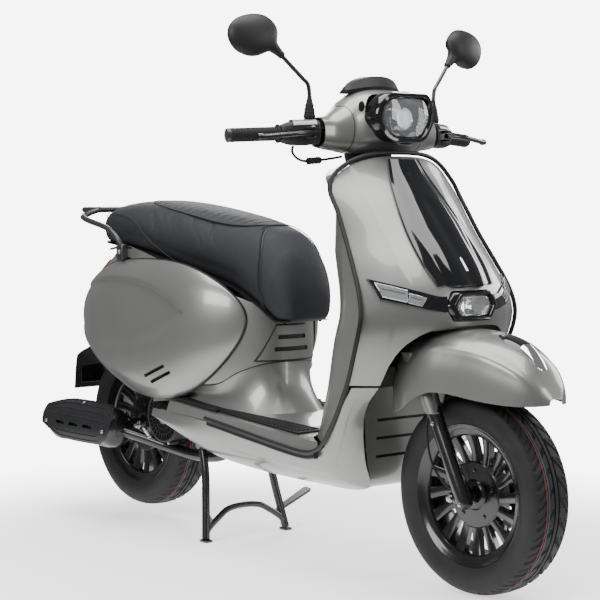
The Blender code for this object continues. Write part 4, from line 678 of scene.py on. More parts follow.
for label, side in SIDES:
    start, along, end = bar_line(side)
    across = vec(side * along.y, -side * along.x, 0).normalized()
    up = vec(0, 0, 1)
    length = (end - start).length
    body = "throttle" if side < 0 else "steering"
    profile = [(0.0, 0.0120), (0.0, 0.0218), (0.0015, 0.0226), (0.0055, 0.0226), (0.0075, 0.0205),
               (0.0090, 0.0172)]
    s = 0.011
    while s < length - 0.014:
        profile += [(s, 0.0170), (s + 0.0006, 0.0160), (s + 0.0022, 0.0160), (s + 0.0028, 0.0170)]
        s += 0.0060
    profile += [(length - 0.010, 0.0172), (length - 0.004, 0.0168), (length - 0.002, 0.0120)]
    turned("grip_" + label, profile, start, along, RUBBER, body,
           ["throttle_grip" if side < 0 else "left_grip"], steps=72)
    cap = ((length - 0.0040, 0.0020), (length - 0.0040, 0.0168), (length + 0.0020, 0.0172),
           (length + 0.0050, 0.0162), (length + 0.0070, 0.0120), (length + 0.0066, 0.0020))
    turned("bar_end_" + label, cap, start, along, GREY, body, steps=48)
    inner, outer = start - along * 0.099, start - along * 0.0015
    rings = []
    stations = ((0.0, 0.0235, 0.0280), (0.03, 0.0255, 0.0300), (0.10, 0.0240, 0.0290),
                (0.35, 0.0260, 0.0310), (0.60, 0.0255, 0.0300), (0.75, 0.0250, 0.0285),
                (0.90, 0.0215, 0.0240), (0.97, 0.0195, 0.0215), (1.0, 0.0175, 0.0190))
    for t, half, high in stations:
        centre = inner.lerp(outer, t)
        rings.append([centre + across * half * power_of(cos(a), 0.7)
                      + up * high * power_of(sin(a), 0.7)
                      for a in circle(40)])
    housing = label + "_control_housing"
    for t, _, _ in reversed(stations):
        centre = inner.lerp(outer, t)
        rings.append([centre + across * cos(a) * 0.0124 + up * sin(a) * 0.0124
                      for a in circle(40)])
    loft("switchgear_" + label, rings, MATTE, "steering", [housing], closed=True, bevel=0.0006)
    lid = []
    for t in np.linspace(0.10, 0.72, 12):
        centre = inner.lerp(outer, t)
        lid.append([centre + across * 0.0262 * power_of(cos(a), 0.7)
                    + up * 0.0312 * abs(sin(a)) ** 0.7 for a in np.linspace(0.45, pi - 0.45, 13)])
    skin("switchgear_lid_" + label, lid, PAINT, "steering", inward=-0.0002, outward=0.0018, flip=side > 0,
         bevel=0.0006)
    pivot = vec(0.329, side * 0.226, 1.085)
    for k, height in enumerate((-0.0140, 0.0085)):
        base = vec(0.300, side * 0.226, 1.085 + height)
        outline = [base + vec(x, y, 0) for x, y in ((0.0, -0.012), (0.024, -0.009), (0.033, -0.006),
                                                    (0.0365, 0.0), (0.033, 0.006), (0.024, 0.009),
                                                    (0.0, 0.012))]
        loft("lever_perch_%s_%d" % (label, k), [outline, [p + vec(0, 0, 0.0055) for p in outline]], BLACK,
             "steering", bevel=0.0008)
    bolt("lever_pivot_" + label, pivot + vec(0, 0, 0.0135), Z_AXIS, STEEL, "steering", 0.0045, 0.003)
    reach = path([pivot + Vector(p) for p in ((-0.004, -side * 0.006, 0), (0.006, side * 0.035, -0.002),
                                              (-0.002, side * 0.085, -0.007),
                                              (-0.016, side * 0.132, -0.012),
                                              (-0.024, side * 0.150, -0.013))], 34)
    rings = []
    for i, p in enumerate(reach):
        u = i / 33
        wide = 0.0115 - 0.0030 * min(u / 0.25, 1) + (0.0020 * exp(-((u - 0.95) / 0.035) ** 2))
        thick = 0.0066 - 0.0008 * min(u / 0.5, 1) + (0.0028 * exp(-((u - 0.95) / 0.035) ** 2))
        tangent = (reach[min(i + 1, 33)] - reach[max(i - 1, 0)]).normalized()
        lateral = tangent.cross(up).normalized()
        rings.append([p + lateral * wide * power_of(cos(a), 0.8) + up * thick * sin(a)
                      for a in circle(20)])
    loft("lever_" + label, rings, BLACK, "lever_" + label, ["brake_lever_" + label], bevel=0.0006)
    middle = start - along * 0.030 + vec(0, 0, 0.004)
    who = "starter" if side < 0 else "horn"
    turned(who + "_cap", ((0.0, 0.0005), (0.0, 0.0060), (-0.0070, 0.0062), (-0.0086, 0.0055),
                          (-0.0080, 0.0005)), middle - across * 0.0225, across, RED if side < 0 else AMBER,
           who, ["starter_button" if side < 0 else "horn_button"], steps=32)
    block("rocker_" + label, (middle.x - 0.0305, middle.y - 0.026 * side - 0.005, middle.z + 0.008),
          (middle.x - 0.0225, middle.y - 0.026 * side + 0.005, middle.z + 0.018), GREY, "steering",
          bevel=0.0012)

    base = vec(0.291, side * 0.207, 1.118)
    top = vec(0.268, side * 0.284, 1.276)
    boot = ((0.0, 0.0120), (0.003, 0.0142), (0.010, 0.0145), (0.014, 0.0128), (0.017, 0.0136),
            (0.021, 0.0118), (0.024, 0.0124), (0.029, 0.0104), (0.033, 0.0108), (0.040, 0.0085),
            (0.050, 0.0062), (0.056, 0.0054))
    arm = "mirror_arm_" + label
    tube("mirror_boot_" + label, [base + vec(0, 0, z) for z, _ in boot], [r for _, r in boot], RUBBER, arm,
         sides=36)
    bend = path([base + vec(0, 0, 0.050), vec(0.2905, side * 0.2075, 1.186),
                 vec(0.2895, side * 0.2115, 1.203), vec(0.2855, side * 0.2230, 1.215),
                 vec(0.2800, side * 0.2430, 1.235), top], 40)
    tube("mirror_stem_" + label + "_rod", bend, 0.0052, BLACK, arm, ["mirror_stem_" + label], sides=24)
    direction = vec(-0.018, side * 0.070, 0.062).normalized()
    wide = vec(0.0, -side * direction.z, side * direction.y)
    wide = (wide - direction * wide.dot(direction)).normalized()
    depth = direction.cross(wide)
    if depth.x > 0:
        depth = -depth
    head = "mirror_head_" + label
    rings = []
    spots = ((-0.016, 0.0064, 0.0064, 0), (-0.014, 0.0088, 0.0088, 0), (-0.006, 0.0098, 0.0098, 0),
             (-0.004, 0.0090, 0.0090, 0), (0.000, 0.0108, 0.0106, 0), (0.012, 0.0124, 0.0118, 0),
             (0.020, 0.0150, 0.0135, 0), (0.026, 0.0250, 0.0170, 0), (0.032, 0.0370, 0.0215, -0.002),
             (0.040, 0.0470, 0.0250, -0.004), (0.052, 0.0550, 0.0285, -0.008),
             (0.068, 0.0600, 0.0300, -0.012), (0.084, 0.0600, 0.0295, -0.016),
             (0.100, 0.0550, 0.0275, -0.021), (0.114, 0.0460, 0.0235, -0.026),
             (0.126, 0.0340, 0.0190, -0.030), (0.134, 0.0210, 0.0130, -0.033),
             (0.138, 0.0080, 0.0060, -0.034))
    for s, w, d, lean in spots:
        centre = top + direction * s + wide * lean
        ring = []
        for a in circle(48):
            rearward = 0.42 if sin(a) > 0 and s > 0.020 else 1.0
            ring.append(centre + wide * cos(a) * w + depth * sin(a) * d * rearward)
        rings.append(ring)
    loft("mirror_shell_" + label, rings, MATTE, head, ["mirror_" + label], sub=1)
    pane = []
    for s, w, lean in ((0.034, 0.034, -0.002), (0.045, 0.0455, -0.005), (0.060, 0.0530, -0.010),
                       (0.075, 0.0560, -0.014), (0.090, 0.0545, -0.018), (0.104, 0.0480, -0.022),
                       (0.116, 0.0390, -0.026), (0.126, 0.0270, -0.030)):
        centre = top + direction * s + wide * lean
        pane.append([centre + wide * w * a + depth * (0.0118 * (1 - 0.20 * a * a)) for a in centred(13)])
    skin("mirror_pane_" + label, pane, GLASS, head, inward=0.0008, outward=0.0008, bevel=0.0004)

route = ((0.276, -0.246, 1.0535), (0.278, -0.250, 1.040), (0.284, -0.243, 1.026), (0.290, -0.226, 1.018),
         (0.292, -0.180, 1.020), (0.284, -0.130, 1.025), (0.272, -0.088, 1.030))
line = path(route, 90)
sleeve = tube("throttle_cable_sleeve", line, 0.0032, RUBBER, "steering", ["throttle_cable"], sides=20)
bellows = tube("throttle_cable_bellows", line[30:49],
               [0.0078 + 0.0012 * cos(i * 1.9) for i in range(30, 49)], RUBBER, "steering", sides=20)


# ---- leg shield and what it carries --------------------------------------------------------------
# z, x at the side edge, x in the middle, half width
SHIELD = ((1.030, 0.325, 0.392, 0.206), (0.980, 0.346, 0.423, 0.206), (0.920, 0.389, 0.472, 0.206),
          (0.840, 0.438, 0.540, 0.215), (0.760, 0.489, 0.607, 0.231), (0.700, 0.522, 0.643, 0.243),
          (0.650, 0.533, 0.648, 0.249), (0.600, 0.520, 0.632, 0.250), (0.520, 0.484, 0.605, 0.239),
          (0.440, 0.437, 0.585, 0.228), (0.330, 0.350, 0.560, 0.215))
# z, how far the middle stands behind the edge
INNER_DEPTH = ((1.030, 0.125), (0.920, 0.135), (0.840, 0.150), (0.745, 0.180), (0.660, 0.198),
               (0.560, 0.198), (0.440, 0.165), (0.330, 0.120))


def shield_point(s, z, proud=0.0):
    edge, middle, half = table(SHIELD, z)
    return vec(edge + (middle - edge) * (1 - s * s) + proud, s * half, z)


def shield_top(s):
    return 0.940 + 0.090 * (1 - abs(s) ** 3) ** (2 / 3)


def shield_foot(s):
    y = abs(s) * 0.240
    return 0.490 + 0.140 * sqrt(max(1 - (y / 0.184) ** 3.8, 0.0))


def inner_point(s, z, behind=0.0):
    edge, _, half = table(SHIELD, z)
    depth = table(INNER_DEPTH, z)[0]
    power = 5.0 - 3.0 * clamp((z - 0.80) / 0.12)
    half -= 0.005 + 0.008 * clamp((0.430 - z) / 0.060)
    return vec(edge - 0.006 - depth * (1 - abs(s) ** power) - behind, s * half, z)


def hexagon(x, half_y, half_z, centre_z, nose=0.72):
    return [vec(x, y * half_y, centre_z + z * half_z)
            for y, z in ((-nose, 1), (nose, 1), (1, 0), (nose, -1), (-nose, -1), (-1, 0))]


def soft_hexagon(x, half_y, half_z, centre_z, corner=0.007, bow=0.0):
    ring = rounded([(p.y, p.z) for p in hexagon(x, half_y, half_z, centre_z)], corner * half_y / 0.083)
    return [vec(x - bow * (y / half_y) ** 2, y, z) for y, z in ring]


def shield_face(s, t):
    top, foot = shield_top(s), shield_foot(s)
    z = top + (foot - top) * t
    crease = 0.0022 * exp(-(((abs(s) - 0.70 + 0.12 * t) / 0.035) ** 2)) * min(t / 0.1, 1)
    return shield_point(s, z, crease)


edge_steps = eased(61)
skin("front_panel", grid_of(shield_face, edge_steps, unit(48)), PAINT, "chassis", ["leg_shield"],
     inward=0.0030, flip=True, bevel=0.0008)
pocket = loft("lamp_pocket", [soft_hexagon(0.560, 0.0850, 0.0362, 0.677),
                              soft_hexagon(0.700, 0.0850, 0.0362, 0.677)], None)
cut(bpy.data.objects["front_panel"], [pocket])


def tie_width(t):
    return 0.049 + 0.050 * sin(min(t * 1.25, 1.0) * pi / 2)


def tie_face(a, t):
    z = 1.018 - t * 0.296
    width = tie_width(t) - (0.010 * (t - 0.86) / 0.14 if t > 0.86 else 0.0)
    spine = clamp((0.86 - abs(a)) / 0.40)
    spine = 0.0105 * spine * spine * (3 - 2 * spine)
    trough = -0.0040 * exp(-((a / 0.17) ** 4)) * clamp((t - 0.30) / 0.06)
    scoop = -0.0080 * exp(-(((abs(a) - 0.66) / 0.15) ** 2)) * clamp((t - 0.52) / 0.30)
    return shield_point(a * width / table(SHIELD, z)[2], z, -0.0035 + spine + trough + scoop)


skin("tie_centre_panel", grid_of(tie_face, eased(33), unit(40)), GLOSS,
     "chassis", ["tie_panel"], inward=-0.0024, outward=0.0095, flip=True, bevel=0.0014)


def strip(half, high, low, proud):
    return [[shield_point(a * half / table(SHIELD, z)[2], z, proud) for a in centred(5)]
            for z in np.linspace(high, low, 30)]


skin("light_strip_channel", strip(0.0078, 0.914, 0.752, 0.0128), SMOKE, "chassis", inward=0.0020,
     outward=0.0008, flip=True, bevel=0.0005)
skin("light_strip_lit", strip(0.0036, 0.905, 0.758, 0.0146), WHITE, "chassis", inward=0.0015,
     outward=0.0006, flip=True, bevel=0.0004)


def badge(half, taper, high, drop, proud):
    return [[shield_point(a * (half - taper * t) / 0.206, high - t * drop, proud) for a in centred(9)]
            for t in unit(7)]


skin("badge_plate", badge(0.0155, 0.003, 0.994, 0.032, 0.0168), CHROME, "chassis", inward=0.0016,
     outward=0.0012, flip=True, bevel=0.0006)
skin("badge_field", badge(0.0125, 0.0025, 0.9915, 0.027, 0.0180), GLOSS, "chassis", inward=0.0006,
     outward=0.0008, flip=True, bevel=0.0004)

rings = [soft_hexagon(x, 0.083 * k, 0.034 * k, 0.677, bow=b)
         for x, k, b in ((0.606, 1.0, 0), (0.640, 1.0, 0.004), (0.6450, 0.985, 0.004),
                         (0.6500, 0.94, 0.004), (0.6530, 0.88, 0.004), (0.6540, 0.82, 0.004),
                         (0.6530, 0.75, 0.004), (0.6490, 0.715, 0.004), (0.640, 0.70, 0.003),
                         (0.606, 0.70, 0))]
loft("nose_surround", rings, GLOSS, "chassis", ["nose_lamp_bezel"], closed=True)
loft("nose_lens", [soft_hexagon(x, 0.083 * k, 0.034 * k, 0.677, bow=b)
                   for x, k, b in ((0.6430, 0.685, 0.003), (0.6470, 0.68, 0.003), (0.6515, 0.66, 0.003),
                                   (0.6545, 0.60, 0.003), (0.6560, 0.50, 0.002), (0.6565, 0.25, 0.001))],
     CLEAR, "chassis", ["nose_lamp_lens"])
loft("nose_reflector", [soft_hexagon(x, 0.083 * k, 0.034 * k, 0.677)
                        for x, k in ((0.612, 0.30), (0.620, 0.50), (0.634, 0.66), (0.637, 0.66),
                                     (0.637, 0.60), (0.622, 0.44), (0.614, 0.20))], CHROME, "chassis")
for y in np.linspace(-0.042, 0.042, 9):
    block("nose_flute_%d" % round(500 + 1000 * y), (0.6405, y - 0.0010, 0.6570),
          (0.6425, y + 0.0010, 0.6970), CLEAR, "chassis", bevel=0.0004)

LAMP_CORNERS = ((0.098, 0.701), (0.222, 0.742), (0.213, 0.694), (0.128, 0.671))
WING_CORNERS = ((0.076, 0.700), (0.104, 0.702), (0.132, 0.672), (0.079, 0.664))


def shield_patch(corners, side):
    """Patch of the shield's surface between four (y, z) corners, clockwise from the top inner one."""
    a_top, b_top, b_low, a_low = (Vector(c) for c in corners)

    def point(a, t):
        y, z = a_top.lerp(b_top, a).lerp(a_low.lerp(b_low, a), t)
        return shield_point(side * y / table(SHIELD, z)[2], z)
    return point


for label, side in SIDES:
    lamp, wing = shield_patch(LAMP_CORNERS, side), shield_patch(WING_CORNERS, side)
    skin("signal_body_" + label, grid_of(lamp, unit(25), unit(10)), GLOSS, "chassis",
         ["front_signal_" + label], inward=-0.0004, outward=0.0048, flip=side > 0, bevel=0.0016)
    for k, (a0, a1, t0, t1) in enumerate(((0.46, 0.93, 0.16, 0.84), (0.14, 0.44, 0.30, 0.86))):
        patch = grid_of(lamp, np.linspace(a0, a1, 17), np.linspace(t0, t1, 8))
        skin("signal_reflector_%s_%d" % (label, k), patch, CHROME, "chassis", inward=-0.0040,
             outward=0.0054, flip=side > 0, bevel=0.0006)
        skin("signal_lens_%s_%d" % (label, k), patch, CLEAR, "chassis", inward=-0.0056, outward=0.0075,
             flip=side > 0, bevel=0.0008)
        line = grid_of(lamp, np.linspace(a0 + 0.04, a1 - 0.04, 17),
                       (t0 + 0.30 * (t1 - t0), t0 + 0.42 * (t1 - t0)))
        skin("signal_bar_%s_%d" % (label, k), line, GREY, "chassis", inward=-0.0050, outward=0.0060,
             flip=side > 0)
    skin("signal_wing_" + label, grid_of(wing, unit(11), unit(7)), GLOSS, "chassis",
         inward=-0.0003, outward=0.0042, flip=side > 0, bevel=0.0010)


# ---- inner shield, glovebox, ignition ----------------------------------------------------------
def inner_face(s, t):
    top = shield_top(s) - 0.028
    foot = 0.3450 - 0.0165 * abs(s) ** 10
    z = top + (foot - top) * t
    return inner_point(s, z)


skin("inner_panel", grid_of(inner_face, edge_steps, unit(48)), PAINT, "chassis", ["inner_shield"],
     inward=0.0030, bevel=0.0008)
inner = bpy.data.objects["inner_panel"]


def top_web(s, t):
    front = shield_point(s, shield_top(s) - 0.006, -0.0034)
    rear = inner_point(s, shield_top(s) - 0.0285)
    return front.lerp(rear, t) + vec(0, 0, 0.004 * sin(pi * t))


web = skin("shield_top_web", grid_of(top_web, edge_steps[1:-1], unit(8)), PAINT, "chassis", inward=0.0016,
           flip=True)
cut(web, [tube("web_hole", [steer_at(0.930), steer_at(1.080)], 0.0665, None, sides=56)])
lock_x = inner_point(-0.085 / 0.215, 0.800).x
lock_hole = turned("lock_hole", ((-0.06, 0.0001), (-0.06, 0.0168), (0.06, 0.0168), (0.06, 0.0001)),
                   (lock_x, -0.085, 0.800), X_AXIS, None, steps=48)
rings = []
for x in (0.18, 0.372):
    ring = rounded([(-0.098, 0.515), (0.098, 0.515), (0.098, 0.685), (-0.098, 0.685)], 0.012)
    rings.append([vec(x, y, z) for y, z in ring])
mouth = loft("bin_mouth", rings, None)
cut(inner, [lock_hole, mouth])


def bin_ring(x, grow):
    """Rounded mouth outline; without a place of its own it follows the panel's surface."""
    low, high = 0.515 - grow, 0.685 + grow
    ring = rounded([(-0.098 - grow, low), (0.098 + grow, low), (0.098 + grow, high), (-0.098 - grow, high)],
                   0.012)
    return [vec(inner_point(y / table(SHIELD, z)[2], z).x + 0.0032 if x is None else x, y, z)
            for y, z in ring]


rings = [bin_ring(None, 0.0025), bin_ring(0.376, 0.0025), bin_ring(0.376, -0.0005),
         bin_ring(0.373, -0.0005), bin_ring(0.3725, 0.0), bin_ring(None, 0.0)]
loft("glovebox_bin", rings, MATTE, "chassis", bevel=0.0008)


def door_face(a, t):
    z = 0.700 - t * 0.200
    rim = (1 - exp(-((1 - abs(a)) / 0.07) ** 2)) * (1 - exp(-(min(t, 1 - t) / 0.08) ** 2))
    return inner_point(a * 0.112 / (table(SHIELD, z)[2] - 0.005), z, -0.0018 * (1 - rim))


skin("glovebox_lid", grid_of(door_face, eased(33), unit(28)), PAINT,
     "glovebox_lid", ["glovebox_door"], inward=-0.0066, outward=0.0096, bevel=0.0014)
catch = inner_point(0, 0.672).x - 0.0096
turned("glovebox_latch", ((-0.002, 0.0010), (-0.002, 0.0120), (-0.0005, 0.0130), (0.0020, 0.0125),
                          (0.0030, 0.0100), (0.0024, 0.0010)), (catch, 0, 0.672), (-1, 0, 0), GLOSS,
       "glovebox_lid", steps=48)
block("glovebox_latch_bar", (catch - 0.0075, -0.0028, 0.6640), (catch - 0.0020, 0.0028, 0.6800), CHROME,
      "glovebox_lid", bevel=0.0012)

turned("lock_collar", ((-0.002, 0.0160), (-0.002, 0.0215), (0.0005, 0.0225), (0.0030, 0.0215),
                       (0.0040, 0.0185), (0.0030, 0.0168)), (lock_x, -0.085, 0.800), (-1, 0, 0), GLOSS,
       "chassis", steps=64)
barrel = turned("lock_barrel", ((-0.024, 0.0005), (-0.024, 0.0155), (0.0040, 0.0155), (0.0056, 0.0145),
                                (0.0060, 0.0130), (0.0060, 0.0005)), (lock_x, -0.085, 0.800), (-1, 0, 0),
                STEEL, "ignition", ["ignition_barrel"], steps=64)
slot = block("key_slot", (lock_x - 0.012, -0.0862, 0.7945), (lock_x - 0.001, -0.0838, 0.8055), None,
             bevel=0.0)
cut(barrel, [slot])


# ---- edge trim ---------------------------------------------------------------------------------
def rim_points(side):
    points = [(-0.150, 0.1965, 0.348), (0.000, 0.2000, 0.333), (0.180, 0.2080, 0.315), (0.290, 0.2160, 0.310),
              (0.342, 0.2210, 0.326), (0.385, 0.2265, 0.368)]
    for z in (0.43, 0.50, 0.57, 0.62, 0.66, 0.71, 0.77, 0.84, 0.90, 0.94):
        edge, _, half = table(SHIELD, z)
        points.append((edge + 0.0015, half + 0.0078, z))
    for s in (0.97, 0.90, 0.78, 0.60, 0.40, 0.20):
        p = shield_point(s, shield_top(s))
        points.append((p.x + 0.0010, p.y + 0.0078 * s ** 4, p.z + 0.0086 - 0.003 * s ** 6))
    return [vec(p[0], side * p[1], p[2]) for p in points]


crown = shield_point(0, shield_top(0)) + vec(0.001, 0, 0.0086)
tube("edge_trim", path(rim_points(-1) + [crown] + list(reversed(rim_points(1))), 360), 0.0055, MATTE,
     "chassis", ["leg_shield_trim"], sides=20)

# ---- floor -------------------------------------------------------------------------------------
BODY_FRONT_X = -0.028


def floor_height(x, y):
    """Foot surface: level under the feet, with a low hump along its middle towards the seat."""
    flat = 0.341 + 0.030 * min(max((0.250 - x) / 0.450, 0.0), 1.2)
    hump = exp(-((abs(y) / 0.095) ** 4)) * clamp((0.16 - x) / 0.17) ** 1.5
    return flat + 0.016 * hump


def floor_half(x):
    return 0.206 - 0.032 * (0.300 - x) - 0.070 * max(-0.200 - x, 0.0)


floor_across = sorted(set(np.round(np.r_[centred(67), np.linspace(-0.86, -0.56, 14),
                                         np.linspace(0.56, 0.86, 14)], 4)))
# x, z where the tray's edge meets the trim
TRAY_LIP = ((0.342, 0.322), (0.290, 0.307), (0.180, 0.312), (0.000, 0.330), (-0.150, 0.345), (-0.360, 0.349))
front_line = [inner_point(s * 0.96, 0.346).x - 0.004 for s in floor_across]
grid = []
for t in unit(74):
    row = []
    for s, end in zip(floor_across, front_line):
        x = end + (-0.343 - end) * t
        lip = abs(s) > 0.999
        y = s * (floor_half(x) + (0.0075 if lip else 0.003))
        z = floor_height(x, y) - 0.004 * abs(s) ** 10
        row.append(vec(x, y, min(z, table(TRAY_LIP, x)[0]) if lip else z))
    grid.append(row)
tray = skin("floor_tray", grid, PAINT, "chassis", ["floorboard"], inward=0.003, bevel=0.0006)
cut(tray, [block("plinth_opening", (-0.60, -0.108, 0.30), (-0.075, 0.108, 0.60), None, bevel=0.0)])

for label, side in SIDES:
    def mat(a, t, side=side):
        x = 0.215 - t * 0.365
        inner_y = 0.090 + 0.056 * t ** 1.2
        outer_y = floor_half(x) - 0.022 + 0.002 * t
        y = side * (inner_y + (outer_y - inner_y) * a)
        return vec(x, y, floor_height(x, y))

    skin("foot_mat_" + label, grid_of(mat, unit(13), unit(40)), RUBBER, "chassis",
         ["floor_mat_" + label], inward=-0.0008, outward=0.004, flip=side < 0, bevel=0.0012)
    for k in range(5):
        def rib(a, t, k=k, mat=mat):
            return mat(0.10 + 0.17 * k + 0.09 * a, 0.04 + 0.92 * t)
        skin("mat_rib_%s_%d" % (label, k), grid_of(rib, (0.0, 0.5, 1.0), unit(34)), RUBBER, "chassis",
             inward=-0.0036, outward=0.0062, flip=side < 0, bevel=0.0007)

    def rear_pad(a, t, side=side):
        x = -0.120 - t * 0.205
        outer_y = floor_half(x) - 0.011
        y = side * (outer_y - 0.030 * (1 - a))
        return vec(x, y, floor_height(x, outer_y - 0.018))

    skin("passenger_pad_" + label, grid_of(rear_pad, unit(8), unit(24)), RUBBER, "chassis",
         inward=0.004, outward=0.0075, flip=side < 0, bevel=0.0015)
    for k in range(3):
        def pad_rib(a, t, k=k, rear_pad=rear_pad):
            return rear_pad(0.14 + 0.29 * k + 0.13 * a, 0.05 + 0.90 * t)
        skin("pad_rib_%s_%d" % (label, k), grid_of(pad_rib, (0.0, 0.5, 1.0), unit(20)), RUBBER, "chassis",
             inward=-0.006, outward=0.0092, flip=side < 0, bevel=0.0006)

# two-tier band along the floor's edge, under the trim
for label, side in SIDES:
    points = [(-0.140, 0.1975, 0.3475), (-0.060, 0.2000, 0.3400), (0.000, 0.2010, 0.3330),
              (0.100, 0.2050, 0.3235), (0.180, 0.2085, 0.3155), (0.280, 0.2150, 0.3105),
              (0.325, 0.2195, 0.3170)]
    spine = path([(x, side * y, z) for x, y, z in points], 80)
    band = []
    for p in spine:
        band.append([p + vec(0, side * out, drop) for out, drop in ((-0.012, 0.0015), (0.0010, 0.0015),
                                                                    (0.0038, -0.0020), (0.0030, -0.0070),
                                                                    (0.0010, -0.0085), (0.0018, -0.0105),
                                                                    (0.0022, -0.0160), (-0.0020, -0.0190),
                                                                    (-0.012, -0.0190))])
    loft("floor_band_" + label, band, MATTE, "chassis", bevel=0.0006)

# ---- fairings under the floor ----------------------------------------------------------------
# upper and lower edge of the side fairings, (x, y, z)
FAIRING_TOP = ((0.474, 0.231, 0.484), (0.434, 0.222, 0.440), (0.388, 0.214, 0.372), (0.325, 0.207, 0.314),
               (0.200, 0.198, 0.305), (0.000, 0.190, 0.322), (-0.200, 0.182, 0.340), (-0.330, 0.172, 0.345),
               (-0.440, 0.158, 0.345))
FAIRING_LOW = ((0.512, 0.180, 0.484), (0.462, 0.170, 0.440), (0.428, 0.156, 0.385), (0.418, 0.142, 0.300),
               (0.404, 0.116, 0.226), (0.180, 0.106, 0.211), (-0.100, 0.114, 0.222), (-0.255, 0.128, 0.250),
               (-0.420, 0.150, 0.325))
fairing_top, fairing_low = path(FAIRING_TOP, 90), path(FAIRING_LOW, 90)
for label, side in SIDES:
    def side_face(a, t, side=side):
        p = fairing_top[int(t)].lerp(fairing_low[int(t)], a)
        bulge = 0.016 * sin(a * pi) * min(t / 24, 1)
        step = -0.0035 / (1 + exp(-(a - 0.42) / 0.012)) * min(t / 12, 1)
        return vec(p.x, side * (p.y + bulge + step), p.z - bulge * 0.7)

    skin("floor_side_" + label, grid_of(side_face, unit(44), range(90)), PAINT, "chassis",
         ["side_fairing_" + label], inward=0.003, flip=side < 0, bevel=0.0008)

belly_line = path([(-0.225, 0, 0.238), (-0.10, 0, 0.2255), (0.100, 0, 0.2145), (0.340, 0, 0.2145),
                   (0.384, 0, 0.2300), (0.398, 0, 0.2700), (0.404, 0, 0.3700), (0.416, 0, 0.4700)], 70)
grid = []
for p in belly_line:
    rise = clamp((p.z - 0.235) / 0.05)
    half = 0.094 + (0.020 + 0.14 * max(p.z - 0.285, 0.0)) * rise
    grid.append([vec(p.x, a * half, p.z) for a in centred(25)])
belly = skin("under_pan", grid, PAINT, "chassis", ["belly_pan"], inward=0.003, bevel=0.0008)
slots = []
for k, z in enumerate((0.300, 0.345, 0.390)):
    ring = rounded([(-0.088, z - 0.0035), (0.088, z - 0.0035), (0.088, z + 0.0035), (-0.088, z + 0.0035)],
                   0.003)
    slots.append(loft("pan_slot_%d" % k, [[vec(x, y, z) for y, z in ring] for x in (0.36, 0.44)], None))
cut(belly, slots)
# matte black sheet just behind the slots in the pan: painted shade inside the slots
skin("pan_slot_shade_sheet", [[vec(0.3925 + 0.012 * (z - 0.285) / 0.12, y, z) for y in np.linspace(-0.092, 0.092, 5)]
                  for z in np.linspace(0.286, 0.405, 5)], MATTE, "chassis", inward=0.0010)

# ---- rear body -------------------------------------------------------------------------------
# z, half width, x of the tail end
BODY = ((0.340, 0.140, -0.560), (0.400, 0.158, -0.720), (0.450, 0.172, -0.840), (0.520, 0.185, -0.910),
        (0.580, 0.188, -0.932), (0.640, 0.184, -0.915), (0.700, 0.174, -0.850), (0.740, 0.160, -0.800),
        (0.800, 0.138, -0.730))
# x, z of the body's upper edge
SEAT_LINE = ((-0.950, 0.760), (-0.740, 0.792), (-0.600, 0.784), (-0.450, 0.764), (-0.280, 0.732),
             (-0.120, 0.680), (0.000, 0.628), (0.080, 0.620))
# x, z of the body's lower edge
FOOT_LINE = ((-0.950, 0.548), (-0.880, 0.536), (-0.840, 0.512), (-0.700, 0.465), (-0.500, 0.432),
             (-0.300, 0.428), (-0.160, 0.434), (-0.090, 0.472), (-0.030, 0.497), (0.080, 0.498))


def body_half(x, z):
    half, tail = table(BODY, z)
    if x > -0.350:
        t = clamp((x + 0.350) / (BODY_FRONT_X + 0.350))
        return half * (1 - t ** 2.6) ** 0.45
    t = clamp((-0.450 - x) / (-0.450 - tail))
    return half * (1 - t ** 2.6) ** 0.5


def around_body(turn, z, proud=0.0):
    half, tail = table(BODY, z)
    c = cos(turn)
    reach = BODY_FRONT_X + 0.400 if c > 0 else -0.400 - tail
    x = -0.400 + reach * power_of(c, 0.80)
    p = vec(x, copysign(1, sin(turn)) * body_half(x, z), z)
    if proud:
        p += vec(p.x + 0.45, p.y * 0.6, 0).normalized() * proud
    return p


turns = circle(200)
grid = []
for t in unit(44):
    ring = []
    for turn in turns:
        x = around_body(turn, 0.62).x
        high, low = table(SEAT_LINE, x)[0] - 0.003, table(FOOT_LINE, x)[0]
        ring.append(around_body(turn, high + (low - high) * t))
    grid.append(ring)
skin("body_shell", grid, PAINT, "chassis", ["rear_body"], inward=0.003, flip=True, wrap=True, bevel=0.0008)

deck = []
for x in np.linspace(-0.640, -0.885, 26):
    z = table(SEAT_LINE, x)[0] - 0.004
    half = body_half(x, z) - 0.0032
    deck.append([vec(x, a * half, z + 0.004 * (1 - a * a)) for a in centred(21)])
skin("tail_deck", deck, PAINT, "chassis", inward=0.003)


def skirt_foot(turn):
    """Where the skirt below the body stands on the floor tray."""
    c, s = cos(turn), sin(turn)
    if c > 0:
        x, y = -0.330 + 0.372 * abs(c) ** 0.72, 0.146 * power_of(s, 0.72)
    else:
        x = -0.330 + 0.130 * c
        y = copysign(0.146 + 0.012 * min(-c * 1.6, 1.0), s)
    return vec(x, y, floor_height(x, 0.2) + 0.001 - 0.018 * max(-c, 0))


def skirt_head(turn):
    x = skirt_foot(turn).x
    if cos(turn) > 0:
        p = around_body(turn, 0.50)
        x = p.x
        z = table(FOOT_LINE, x)[0] + 0.010
        p = around_body(turn, z)
        return vec(p.x, p.y, z) - vec(p.x + 0.45, p.y, 0).normalized() * 0.0036
    z = table(FOOT_LINE, x)[0] + 0.010
    return vec(x, copysign(body_half(x, z) - 0.0036, sin(turn)), z)


